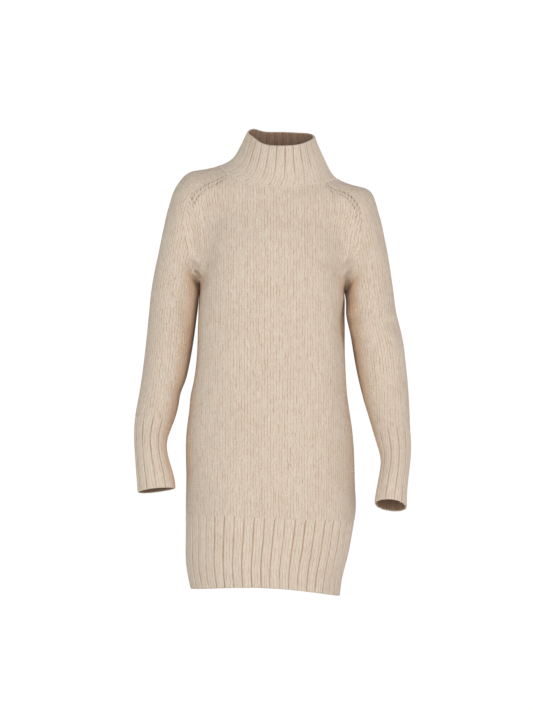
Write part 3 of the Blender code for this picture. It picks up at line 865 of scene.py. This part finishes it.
# Each mask's value where a piece doesn't say otherwise. "inner" is a vertex group, which Solidify fills, and
# the material paints the inner side dark with it, as painted shade.
MASKS = {"furrow": 0.0, "hole": 0.0, "shade": 0.0, "inner": 0.0, "seam_gap": 1.0, "seam_run": 1.0}
WARM_FROM, WARM_SPAN = 0.19, 0.36
DEEP_FROM, DEEP_SPAN = 0.62, 0.36


def new_wool(name):
    """A new material with the heather in it, and what is needed to go on with it."""
    material = bpy.data.materials.new(name)
    material.use_nodes = True
    s = Sums(material.node_tree)
    shader = material.node_tree.nodes["Principled BSDF"].inputs
    for label, value in WOOL_SHADER.items():
        shader[label].default_value = value
    place = s.node("TexCoord").outputs["Object"]
    return material, s, shader, place, s.group(heather_group, Place=place, **WOOL)


def raise_surface(s, shader, height, depth):
    """A bump of a true depth."""
    bump = s.node("Bump")
    bump.inputs["Distance"].default_value = depth
    s.feed(bump.inputs["Height"], height)
    s.feed(shader["Normal"], bump.outputs["Normal"])


def wool(name, slit_shade_share):
    """Wool knit: heathered colour, Vs from the stitch map, furrows, holes and shade from the masks, the shade
    painted into the colour.
    """
    material, s, shader, place, heather = new_wool(name)
    for label, value in KNIT_SHADER.items():
        shader[label].default_value = value
    stitch = s.node("UVMap", uv_map="stitch").outputs["UV"]
    knit = s.group(stitch_group, Stitch=stitch, Place=place)
    mask = {label: s.node("Attribute", attribute_name=label).outputs["Fac"] for label in MASKS}
    marks = s.group(marks_group, Gap=mask["seam_gap"], Run=mask["seam_run"], Place=place)
    hole = s.math("MAXIMUM", mask["hole"], marks["Mark"])
    colour = s.mix(s.times(knit["Tone"], TONE_SHARE), heather["Color"], WOOL["Fleck"])
    # Painted shade: the slits between the stitches are painted darker.
    colour = s.mix(s.times(knit["Slit"], slit_shade_share), colour, SLIT_SHADE_COLOUR)
    # Painted shade: the rib furrows are painted darker and warmer.
    colour = s.mix(s.times(mask["furrow"], FURROW_SHADE_SHARE), colour, FURROW_SHADE_COLOUR)
    # Painted shade: hollows that other cloth hides are painted warm, then deep brown, and the inner side is
    # painted dark.
    warmth = s.ramp(mask["shade"], 1 / WARM_SPAN, -WARM_FROM / WARM_SPAN)
    colour = s.mix(s.times(warmth, WARM_SHARE), colour, WARM_SHADE)
    depth = s.ramp(mask["shade"], 1 / DEEP_SPAN, -DEEP_FROM / DEEP_SPAN)
    depth = s.math("MAXIMUM", s.times(depth, DEEP_SHARE), s.times(mask["inner"], INNER_SHADE_SHARE))
    colour = s.mix(depth, colour, DEEP_SHADE)
    # Painted shade: the holes of the fashioning marks and the dots at the furrows are painted dark.
    s.feed(shader["Base Color"], s.mix(s.times(hole, HOLE_SHADE_SHARE), colour, HOLE_SHADE_COLOUR))
    yarn = s.plus(s.minus(knit["Height"], s.times(hole, HOLE_DROP)), s.times(marks["Lip"], LIP_RISE))
    raise_surface(s, shader, s.plus(yarn, s.times(heather["Nap"], NAP_RISE)), BUMP_DEPTH)
    return material


def yarn_wool(name):
    """The same wool as a single thread, for the stitches that join the pieces."""
    material, s, shader, _, heather = new_wool(name)
    s.feed(shader["Base Color"], heather["Color"])
    raise_surface(s, shader, heather["Nap"], YARN_BUMP)
    return material


materials = {
    "wool_yarn": yarn_wool("wool_yarn"),
    "wool_stocking_stitch": wool("wool_stocking_stitch", slit_shade_share=0.88),
    "wool_rib": wool("wool_rib", slit_shade_share=0.60),
}
print("materials:", ", ".join(materials))

# %% [markdown]
# ## Shells of cloth
# A piece is a skin of points and faces, with a stitch map, painted masks and a thickness. Solidify adds the
# inner side, so that the open neck, wrists and hem show a soft edge and the back of the cloth. The material
# paints that inner side dark, as painted shade.

# %% A shell of cloth
KNIT_THICK = 0.0022
RIB_THICK = 0.0028


def shell(name, node, material_name, points, faces, stitch, masks, thick):
    """Points, faces and values as a finished piece of cloth that stands for a solid.

    The stitch map has a row for each point or, over the join of a ring, for each corner of each face."""
    mesh = bpy.data.meshes.new(name)
    mesh.from_pydata(np.asarray(points).tolist(), [], [list(map(int, face)) for face in faces])
    corner = np.empty(len(mesh.loops), np.int32)
    mesh.loops.foreach_get("vertex_index", corner)
    layer = mesh.uv_layers.new(name="stitch")
    stitch = np.asarray(stitch, np.float32)
    stitch = stitch[corner] if len(stitch) == len(points) else stitch
    layer.data.foreach_set("uv", stitch.ravel())
    # The painted shade of the hollows, taken from the form.
    masks = {**masks, "shade": shade_at(np.asarray(points))}
    for label, plain in MASKS.items():
        if label != "inner":
            values = masks.get(label, np.full(len(points), plain))
            mask = mesh.attributes.new(label, "FLOAT", "POINT")
            mask.data.foreach_set("value", values.astype(np.float32))
    mesh.materials.append(materials[material_name])
    cloth = bmesh.new()
    cloth.from_mesh(mesh)
    bmesh.ops.remove_doubles(cloth, verts=cloth.verts, dist=SAME_POINT)
    for edge in cloth.edges:
        edge.smooth = not edge.is_boundary
    cloth.to_mesh(mesh)
    cloth.free()
    for face in mesh.polygons:
        face.use_smooth = True
    piece = bpy.data.objects.new(name, mesh)
    bpy.context.collection.objects.link(piece)
    inner = piece.modifiers.new("inner side", "SOLIDIFY")
    inner.thickness = thick
    inner.offset = -1
    # The group "inner" holds the inner side, which the material paints dark as painted shade.
    piece.vertex_groups.new(name="inner")
    inner.shell_vertex_group = "inner"
    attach(piece, "root")
    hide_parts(node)
    print(f"{name}: {len(mesh.vertices)} points, {len(mesh.polygons)} faces")


print(f"cloth {KNIT_THICK * 1000:.1f} mm thick, ribs {RIB_THICK * 1000:.1f} mm")

# %% [markdown]
# ## Seams
# The raglan seams run from the underarms to the neck, and a seam goes round under the collar. Points that
# two pieces of the form share lie on their seam, so each seam can be read off the form itself. Near a seam
# the cloth dips a little. Each point of the body also keeps how far it is from a raglan seam and from its
# upper end, which is all that the fashioning marks need.

# %% Where the seams run
SEAM_CALM = 60
SEAM_STEP = 0.001

piece_numbers = np.empty(len(smooth.polygons), np.int32)
smooth.polygons.foreach_get("material_index", piece_numbers)
corner_points = np.empty(len(smooth.loops), np.int32)
smooth.loops.foreach_get("vertex_index", corner_points)
corner_counts = np.array([p.loop_total for p in smooth.polygons])
owners = np.zeros((len(smooth.vertices), len(PIECES)), bool)
owners[corner_points, np.repeat(piece_numbers, corner_counts)] = True


def seam_points(one, other):
    """The points of the form that two pieces share."""
    return smooth_points[owners[:, PIECES.index(one)] & owners[:, PIECES.index(other)]]


def seam_line(one, other):
    """A seam from its lower end to its upper one, each point followed by the nearest that is left."""
    points = seam_points(one, other)
    order = [int(points[:, 2].argmin())]
    left = set(range(len(points))) - set(order)
    while left:
        waiting = list(left)
        gaps = np.linalg.norm(points[waiting] - points[order[-1]], axis=1)
        order.append(waiting[int(gaps.argmin())])
        left.remove(order[-1])
    return evened(points[order], closed=False)


def evened(line, closed):
    """The line with its small jogs smoothed away, as points one step apart."""
    for _ in range(SEAM_CALM):
        before, after = np.roll(line, 1, axis=0), np.roll(line, -1, axis=0)
        calmed = line / 2 + (before + after) / 4
        if not closed:
            calmed[[0, -1]] = line[[0, -1]]
        line = calmed
    line = np.concatenate([line, line[:1]]) if closed else line
    along = travelled(line)
    even = np.arange(0, along[-1], SEAM_STEP)
    return np.stack([np.interp(even, along, column) for column in line.T], -1)


def nearest(points, line):
    """The distance from each point to a line, and how far along it the nearest place is."""
    gaps, runs = [], []
    for part in in_parts(points):
        apart = np.linalg.norm(part[:, None] - line, axis=-1)
        gaps.append(apart.min(1))
        runs.append(apart.argmin(1) * SEAM_STEP)
    return np.concatenate(gaps), np.concatenate(runs)


raglans = {
    (body, side): seam_line("body_" + body, "sleeve_" + side)
    for body in ("front", "back")
    for side in ("left", "right")
}
print("raglan seams:", {key: round(SEAM_STEP * len(line), 3) for key, line in raglans.items()})

# %% [markdown]
# ## The front, the back and the sleeves
# These are the smooth form itself, cut at the seams, pressed in where it creases, and with its stitch map
# from the distances over the cloth.

# %% Front, back and sleeves
SEAM_DIP = 0.0011
SEAM_HALF_WIDTH = 0.0028
SEAM_SHOWS = 0.07
SEAM_FAINT = 0.15


def knitted(name, node, tube_name, seams):
    """A piece of stocking stitch from the smooth form, and the lines of the seams that it dips along."""
    points, faces, used = skin_of([node])
    normals = smooth_normals[used]
    stitch = corner_map(faces, *cloth_distances(tubes[tube_name], points))
    sunk = crease_depth(points, normals)
    masks = {"seam_gap": np.ones(len(points)), "seam_run": np.ones(len(points))}
    for line in seams:
        gap, run = nearest(points, line)
        from_top = SEAM_STEP * len(line) - run
        if node.startswith("body"):
            nearer = gap < masks["seam_gap"]
            masks["seam_gap"][nearer] = gap[nearer]
            masks["seam_run"][nearer] = from_top[nearer]
        shows = SEAM_FAINT + (1 - SEAM_FAINT) * ease(2 - from_top / SEAM_SHOWS)
        sunk = sunk + SEAM_DIP * shows * np.exp(-((gap / SEAM_HALF_WIDTH) ** 2))
    points = points - sunk[:, None] * normals
    shell(name, node, "wool_stocking_stitch", points, faces, stitch, masks, KNIT_THICK)


for side in ("front", "back"):
    seams = [raglans[side, "left"], raglans[side, "right"]]
    knitted("knit_" + side, "body_" + side, side, seams)
for side in ("left", "right"):
    seams = [raglans["front", side], raglans["back", side]]
    knitted("knit_sleeve_" + side, "sleeve_" + side, side, seams)

# %% [markdown]
# ## Ribbed pieces
# Wide rib is three raised wales, then one sunken one, over and over. The grid for a ribbed piece is laid so
# that its columns run along the ribs, with more of them in the furrows. That gives each furrow crisp sides
# with few faces. Each grid row is a ring round the tube, shared out evenly over its own length, so that the
# ribs spread where the piece grows wider.

# %% Ribs as grids
HALF_PROFILE = [0.035, 0.075, 0.12, 0.17, 0.23, 0.29, 0.335, 0.38, 0.44]
RIB_PROFILE = np.array([0.0, *HALF_PROFILE, 0.5, *(1 - share for share in reversed(HALF_PROFILE))])
WALES_PER_RIB = 3
WALE_RISE = 0.00045
CROWN = 0.15
FURROW_HALF_WIDTH = 0.062
RING_FAN = 181


def ring_grid(tube, low, high, start, end, shares, columns):
    """Rows of points between two edges, with columns at shares of each row's length between two angles."""
    angles = np.linspace(start, end, RING_FAN)
    bottom, top = low(angles), high(angles)
    rows = []
    for share, column in zip(shares, columns):
        place = bottom + (top - bottom) * share
        points = tube.points(whole_form, place[None], angles[None])[0]
        way = travelled(points)
        at = np.interp(column, way / way[-1], angles)
        place = low(at) + (high(at) - low(at)) * share
        rows.append(tube.points(whole_form, place[None], at[None])[0])
    return np.array(rows)


def grid_normals(grid, closed):
    """The way that each point of a grid faces. A closed grid's first and last columns are one."""
    wide = np.concatenate([grid[:, -2:-1], grid, grid[:, 1:2]], axis=1) if closed else grid
    across = np.gradient(wide, axis=1)
    across = across[:, 1:-1] if closed else across
    return unit(np.cross(across, np.gradient(grid, axis=0)))


def grid_faces(rows, columns):
    """The quads of a grid of points."""
    index = np.arange(rows * columns).reshape(rows, columns)
    quads = np.stack([index[:-1, :-1], index[:-1, 1:], index[1:, 1:], index[1:, :-1]], -1)
    return quads.reshape(-1, 4)


def rib_columns(count):
    """Columns as counts of ribs, whole numbers being the middles of furrows."""
    return np.append(np.add.outer(np.arange(count), RIB_PROFILE), count)


def soft_noise(x, y, seed, waves=6):
    """A smooth uneven field from a few slanted waves."""
    rng = np.random.default_rng(seed)
    total = np.zeros(np.broadcast(x, y).shape)
    for _ in range(waves):
        fx, fy, phase = rng.normal(), rng.normal(), rng.uniform(0, 2 * math.pi)
        total += np.sin(fx * x + fy * y + phase)
    return total / math.sqrt(waves)


def furrow_shape(ribs):
    """1 at the middle of a furrow and 0 over most of a rib."""
    off = np.abs(ribs - np.round(ribs))
    return np.exp(-((off / FURROW_HALF_WIDTH) ** 2))


def rib_height(ribs, depth):
    """A rib's own rounded top, with the furrows between."""
    off = np.abs(ribs - np.round(ribs)) * 2
    crown = CROWN * (1 - (1 - np.clip(off, 0, 1)) ** 2)
    wales = WALE_RISE * (np.abs(np.sin(math.pi * WALES_PER_RIB * ribs)) ** 0.7 - 1)
    return depth * (crown - furrow_shape(ribs)) + wales


print("columns in one rib:", len(RIB_PROFILE))

# %% [markdown]
# The edges of each ribbed piece are read off the form as well: where its open or sewn edge lies at every
# angle. A closed ring needs its first and last angles to agree, so the readings are wrapped round.

# %% The two edges of a ribbed piece
def ring_edges(tube, names):
    """Functions from angle to place, for the edges nearer the line's start and nearer its end."""
    points, faces, _ = skin_of(names)
    edges = {}
    for face in faces:
        for a, b in zip(face, face[1:] + face[:1]):
            key = (min(a, b), max(a, b))
            edges[key] = edges.get(key, 0) + 1
    rim = np.unique([v for key, count in edges.items() if count == 1 for v in key])
    place, angle = tube.place(points[rim])
    halfway = (place.min() + place.max()) / 2
    found = []
    for part in (place < halfway, place > halfway):
        order = angle[part].argsort()
        known_angle, known_place = angle[part][order], place[part][order]
        wrapped = np.concatenate([known_angle - 2 * math.pi, known_angle, known_angle + 2 * math.pi])
        thrice = np.tile(known_place, 3)
        found.append(lambda a, x=wrapped, y=thrice: np.interp(a, x, y))
    return found


print("edges are read by angle")

# %% [markdown]
# A ribbed piece is then laid out row by row and pressed into ribs. The ribs fade where they run into plain
# knitting and waver a little, and the free edge is rounded, as a cast-off edge is. A small dot of painted
# shade marks where each furrow begins, and the furrows are painted darker as painted shade, more in some
# places than in others.

# %% A ribbed piece
EDGE_ROUND = 0.0024
EDGE_INSET = 0.0004
SEAM_OVERLAP = 0.0012
TUCK = 0.0005
ROW_STEP = 0.0032
EDGE_ROWS = np.array([0, 0.12, 0.35, 0.7, 1.1])
LENGTH_RAYS = 41
LEAST_FADE = 0.08
UNEVEN = 0.18
# Painted shade of the furrows: its mean strength, how much it varies, and its limits.
FURROW_SHADE_LEVEL, FURROW_SHADE_SPREAD, FURROW_SHADE_RANGE = 0.75, 0.35, (0.3, 1.2)
# The dot of painted shade where each furrow begins: its place, half width and strength.
DOT_PLACE, DOT_HALF_WIDTH, DOT_SHARE = 0.005, 0.0025, 0.35


def row_shares(length, free_at_start):
    """Even rows, with extra ones where the free edge is rounded, as shares of the length."""
    even = np.arange(2 * EDGE_ROUND, length - ROW_STEP / 2, ROW_STEP)
    rows = np.concatenate([EDGE_ROUND * EDGE_ROWS, even, [length]]) / length
    return rows if free_at_start else 1 - rows[::-1]


def ribbed(name, node, tube, names, span, count, *, depth, fade_over, waver, seed, free_at_start=True):
    """A ribbed piece between the edges of some pieces and two angles, with so many ribs."""
    low, high = ring_edges(tube, names)
    angles = np.linspace(*span, LENGTH_RAYS)
    length = float(np.abs(high(angles) - low(angles)).mean())
    shares = row_shares(length, free_at_start)
    inset, overlap = EDGE_INSET / length, SEAM_OVERLAP / length
    reach = shares * (1 + overlap - inset) + (inset if free_at_start else -overlap)
    ribs = rib_columns(count)
    columns, rows = np.meshgrid(ribs, shares)
    closed = math.isclose(span[1] - span[0], 2 * math.pi)
    loop = np.minimum(1, 4 * np.minimum(columns, count - columns) / count)
    sway = waver * loop * soft_noise(columns * 1.3, rows * 4.0, seed)
    grid = ring_grid(tube, low, high, *span, reach, (columns + sway) / count)
    normal = grid_normals(grid, closed)
    from_free = (rows if free_at_start else 1 - rows) * length
    fade = ease((length - from_free) / fade_over) * (1 - LEAST_FADE) + LEAST_FADE
    uneven = 1 + UNEVEN * loop * soft_noise(columns * 0.9, rows * 2.2, seed + 1)
    lift = rib_height(columns, depth) * fade * uneven
    lift = lift - TUCK * ease((from_free - length + 2 * ROW_STEP) / ROW_STEP)
    inside_edge = np.clip(EDGE_ROUND - from_free, 0, EDGE_ROUND)
    lift = lift - (EDGE_ROUND - np.sqrt(EDGE_ROUND**2 - inside_edge**2)) * 0.9
    flat = grid.reshape(-1, 3)
    lift = lift - crease_depth(flat, normal.reshape(-1, 3)).reshape(lift.shape)
    grid = grid + lift[..., None] * normal
    faces = grid_faces(*grid.shape[:2])
    courses = np.broadcast_to(shares[:, None] * length / COURSE, columns.shape)
    stitch = np.stack([columns * WALES_PER_RIB, courses], -1).reshape(-1, 2)
    # Painted shade: the furrows are painted darker, unevenly along them, with a dark dot where each begins.
    dotted = np.exp(-(((length - from_free - DOT_PLACE) / DOT_HALF_WIDTH) ** 2)) * DOT_SHARE
    furrow_shade_strength = FURROW_SHADE_LEVEL + FURROW_SHADE_SPREAD * soft_noise(columns * 2.7, rows * 1.5, seed + 2)
    furrow = furrow_shape(columns)
    masks = {"furrow": furrow * fade * np.clip(furrow_shade_strength, *FURROW_SHADE_RANGE), "hole": furrow * dotted}
    masks = {label: values.ravel() for label, values in masks.items()}
    shell(name, node, "wool_rib", grid.reshape(-1, 3), faces, stitch, masks, RIB_THICK)


print(f"a row of rib every {ROW_STEP * 1000:.1f} mm")


# %% [markdown]
# ## Hem, cuffs and collar
# The hem is about 160 mm deep, in two halves that meet under the side seams. The cuffs are as deep. The
# collar spreads from its rim down to the shoulders, and its ribs sink away before they reach the seam.

# %% Hem, cuffs and collar
HEM_RIBS = {"front": 23, "back": 22}
HEM_SEEDS = {"front": 3, "back": 5}
CUFF_RIBS = 12
CUFF_STARTS = {"left": 0.0, "right": 0.2}
COLLAR_RIBS = 26

seam = seam_points("hem_front", "hem_back")
_, seam_angles = tubes["front"].place(seam)
left_angle = seam_angles[seam_angles < 0].mean()
right_angle = seam_angles[seam_angles > 0].mean()
spans = {"front": (left_angle, right_angle), "back": (right_angle, left_angle + 2 * math.pi)}
for side, span in spans.items():
    ribbed("rib_hem_" + side, "hem_" + side, tubes["front"], ["hem_front", "hem_back"], span,
           HEM_RIBS[side], depth=0.0021, fade_over=0.012, waver=0.035, seed=HEM_SEEDS[side])
for side, start in CUFF_STARTS.items():
    ribbed("rib_cuff_" + side, "cuff_" + side, tubes[side], ["cuff_" + side],
           (start - math.pi, start + math.pi), CUFF_RIBS, depth=0.0020, fade_over=0.014, waver=0.04, seed=7)
half_rib = math.pi / COLLAR_RIBS
ribbed("rib_collar", "collar", tubes["collar"], ["collar"], (half_rib - math.pi, half_rib + math.pi),
       COLLAR_RIBS, depth=0.0020, fade_over=0.060, waver=0.03, seed=11, free_at_start=False)

# %% [markdown]
# ## The joining stitches
# A linked seam shows as a fine chain: pairs of slanted stitches, one after another. Geometry Nodes are made
# for this. The tree takes a line that lies on the cloth, cuts it into even steps, and sets one small thread
# at each step on both sides of it, leaning in and out by turns. Every thread is one low sphere stretched
# long, since there are hundreds of them.

# %% A tree that sets a chain of stitches along a line
CHAIN_SIZES = {"Pitch": 0.0042, "Half Gap": 0.0009, "Thread": 0.00085, "Reach": 0.0023, "Lean": 0.50}
THREAD_SPREAD = 0.15


def chain_tree():
    """The node group: a mesh of lines in, threads out."""
    tree = bpy.data.node_groups.new("seam_chain", "GeometryNodeTree")
    sockets = tree.interface
    sockets.new_socket("Geometry", in_out="INPUT", socket_type="NodeSocketGeometry")
    for label, size in CHAIN_SIZES.items():
        sockets.new_socket(label, in_out="INPUT", socket_type="NodeSocketFloat").default_value = size
    sockets.new_socket("Material", in_out="INPUT", socket_type="NodeSocketMaterial")
    sockets.new_socket("Geometry", in_out="OUTPUT", socket_type="NodeSocketGeometry")

    def node(kind, links=(), **settings):
        made = tree.nodes.new(kind)
        for key, value in settings.items():
            setattr(made, key, value)
        for socket, value in dict(links).items():
            if isinstance(value, bpy.types.NodeSocket):
                tree.links.new(value, made.inputs[socket])
            else:
                made.inputs[socket].default_value = value
        return made.outputs

    given = node("NodeGroupInput")
    line = node("GeometryNodeMeshToCurve", {"Mesh": given["Geometry"]})[0]
    steps = node("GeometryNodeResampleCurve", {"Curve": line, "Length": given["Pitch"]}, mode="LENGTH")[0]
    ball = node("GeometryNodeMeshUVSphere", {"Segments": 6, "Rings": 5, "Radius": 1.0})[0]
    ball = node("GeometryNodeSetShadeSmooth", {"Geometry": ball})[0]
    sizes = node("ShaderNodeCombineXYZ", {"X": given["Thread"], "Y": given["Reach"], "Z": given["Thread"]})[0]
    thread = node("GeometryNodeTransform", {"Geometry": ball, "Scale": sizes})[0]
    ahead = node("GeometryNodeInputTangent")[0]
    outward = node("GeometryNodeInputNamedAttribute", {"Name": "outward"}, data_type="FLOAT_VECTOR")[0]
    aside = node("ShaderNodeVectorMath", {0: ahead, 1: outward}, operation="CROSS_PRODUCT")[0]
    upright = node("FunctionNodeAlignRotationToVector", {"Vector": outward}, axis="Z")[0]
    along = node("FunctionNodeAlignRotationToVector", {"Rotation": upright, "Vector": ahead},
                 axis="Y", pivot_axis="Z")[0]
    rows = []
    for seed, sign in enumerate((1.0, -1.0)):
        far = node("ShaderNodeMath", {0: given["Half Gap"], 1: sign}, operation="MULTIPLY")[0]
        shift = node("ShaderNodeVectorMath", {0: aside, "Scale": far}, operation="SCALE")[0]
        row = node("GeometryNodeSetPosition", {"Geometry": steps, "Offset": shift})[0]
        lean = node("ShaderNodeMath", {0: given["Lean"], 1: sign}, operation="MULTIPLY")[0]
        lean = node("ShaderNodeCombineXYZ", {"Z": lean})[0]
        turn = {"Rotation": along, "Rotate By": node("FunctionNodeEulerToRotation", {"Euler": lean})[0]}
        way = node("FunctionNodeRotateRotation", turn, rotation_space="LOCAL")[0]
        uneven = {2: 1 - THREAD_SPREAD, 3: 1 + THREAD_SPREAD, "Seed": seed}
        uneven = node("FunctionNodeRandomValue", uneven, data_type="FLOAT")[1]
        placing = {"Points": row, "Instance": thread, "Rotation": way, "Scale": uneven}
        rows.append(node("GeometryNodeInstanceOnPoints", placing)[0])
    joined = tree.nodes.new("GeometryNodeJoinGeometry")
    for row in rows:
        tree.links.new(row, joined.inputs["Geometry"])
    real = node("GeometryNodeRealizeInstances", {"Geometry": joined.outputs["Geometry"]})[0]
    dressed = node("GeometryNodeSetMaterial", {"Geometry": real, "Material": given["Material"]})[0]
    node("NodeGroupOutput", {"Geometry": dressed})
    return tree


chain = chain_tree()
print("chain tree:", len(chain.nodes), "nodes")

# %% [markdown]
# The lines are the seams themselves, laid on the smooth form. Each raglan seam shows its chain only near
# the neck, because lower down it sinks between the stitches. The neck seam goes all the way round.

# %% The chains along the seams
CHAIN_SHOWS = 0.150
CHAIN_SINK = 0.0002


def chain_along(name, lines):
    """One mesh of joining stitches along some lines."""
    points, edges, outward = [], [], []
    for line in lines:
        start = len(points)
        found = [whole_form.find_nearest(point)[:2] for point in line.tolist()]
        normals = np.array([normal for _, normal in found])
        on_cloth = np.array([place for place, _ in found])
        points += (on_cloth - CHAIN_SINK * normals).tolist()
        outward += normals.tolist()
        edges += [(start + i, start + i + 1) for i in range(len(line) - 1)]
    mesh = bpy.data.meshes.new(name)
    mesh.from_pydata(points, edges, [])
    layer = mesh.attributes.new("outward", "FLOAT_VECTOR", "POINT")
    layer.data.foreach_set("vector", np.array(outward, np.float32).ravel())
    holder = bpy.data.objects.new(name, mesh)
    bpy.context.collection.objects.link(holder)
    maker = holder.modifiers.new("chain", "NODES")
    maker.node_group = chain
    for item in chain.interface.items_tree:
        if item.in_out == "INPUT" and item.name in CHAIN_SIZES:
            maker[item.identifier] = CHAIN_SIZES[item.name]
        elif item.in_out == "INPUT" and item.name == "Material":
            maker[item.identifier] = materials["wool_yarn"]
    made = evaluated_copy(holder)
    holder.modifiers.remove(maker)
    holder.data = made
    made.name = name
    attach(holder, "root")
    print(f"{name}: {len(made.polygons)} faces")
    return holder


def ring_line(piece, others, tube):
    """The closed seam between a piece and several others, as even points round a tube."""
    points = np.concatenate([seam_points(piece, other) for other in others])
    points = points[tube.place(points)[1].argsort()]
    return evened(points, closed=True)


shown = int(CHAIN_SHOWS / SEAM_STEP)
chains = {
    side: chain_along("chain_" + side, [raglans[body, side][-shown:] for body in ("front", "back")])
    for side in ("left", "right")
}
UNDER_COLLAR = ["body_front", "body_back", "sleeve_left", "sleeve_right"]
chains["neck"] = chain_along("chain_neck", [ring_line("collar", UNDER_COLLAR, tubes["collar"])])

# %% [markdown]

# %% [markdown]
# ## Floor and light
# The dress keeps the height at which it is worn, about 0.6 m clear of a pale floor. A broad soft light
# stands in front of it, so that the cloth is bright where it faces the camera and darker towards its edges.
# Two weaker ones, a warm one at the right and a cool one at the left, keep those edges from going grey. A
# pale room fills in the rest, and the camera sees it as white.

# %% Floor and light
FLOOR_HEIGHT = -1.48
FLOOR_RADIUS = 2.3
FLOOR_LOOK = {"Base Color": (0.86, 0.86, 0.86, 1), "Roughness": 0.8}
LIT = (0, 0, -0.45)
LIGHTS = [
    # name, place, size, watts, colour
    ("key", (0.5, -3.4, 0.1), 1.8, 46, (1.0, 0.975, 0.945)),
    ("side", (2.4, -1.8, -0.2), 1.6, 15, (1.0, 0.965, 0.925)),
    ("fill", (-2.0, -2.4, -0.3), 1.6, 20, (0.94, 1.0, 0.98)),
]
ROOM_GLOW, SEEN_GLOW = 0.63, 0.39

bpy.ops.mesh.primitive_circle_add(vertices=96, radius=FLOOR_RADIUS, fill_type="NGON",
                                  location=(0, 0, FLOOR_HEIGHT))
floor = bpy.context.object
floor.name = "floor"
paint = bpy.data.materials.new("pale_floor")
paint.use_nodes = True
for label, value in FLOOR_LOOK.items():
    paint.node_tree.nodes["Principled BSDF"].inputs[label].default_value = value
floor.data.materials.append(paint)


def soft_light(name, place, size, watts, colour):
    """A round lamp turned to the dress."""
    lamp = bpy.data.lights.new(name, "AREA")
    lamp.shape, lamp.size, lamp.energy, lamp.color = "DISK", size, watts, colour
    holder = bpy.data.objects.new(name, lamp)
    holder.location = place
    holder.rotation_euler = (Vector(LIT) - Vector(place)).to_track_quat("-Z", "Y").to_euler()
    bpy.context.collection.objects.link(holder)


for light in LIGHTS:
    soft_light(*light)

room = bpy.data.worlds.new("room")
room.use_nodes = True
bpy.context.scene.world = room
s = Sums(room.node_tree)
glow = room.node_tree.nodes["Background"]
glow.inputs["Color"].default_value = (1, 1, 1, 1)
seen = s.node("LightPath").outputs["Is Camera Ray"]
s.feed(glow.inputs["Strength"], s.math("MULTIPLY_ADD", seen, SEEN_GLOW, ROOM_GLOW))
bpy.context.scene.view_settings.view_transform = "Standard"
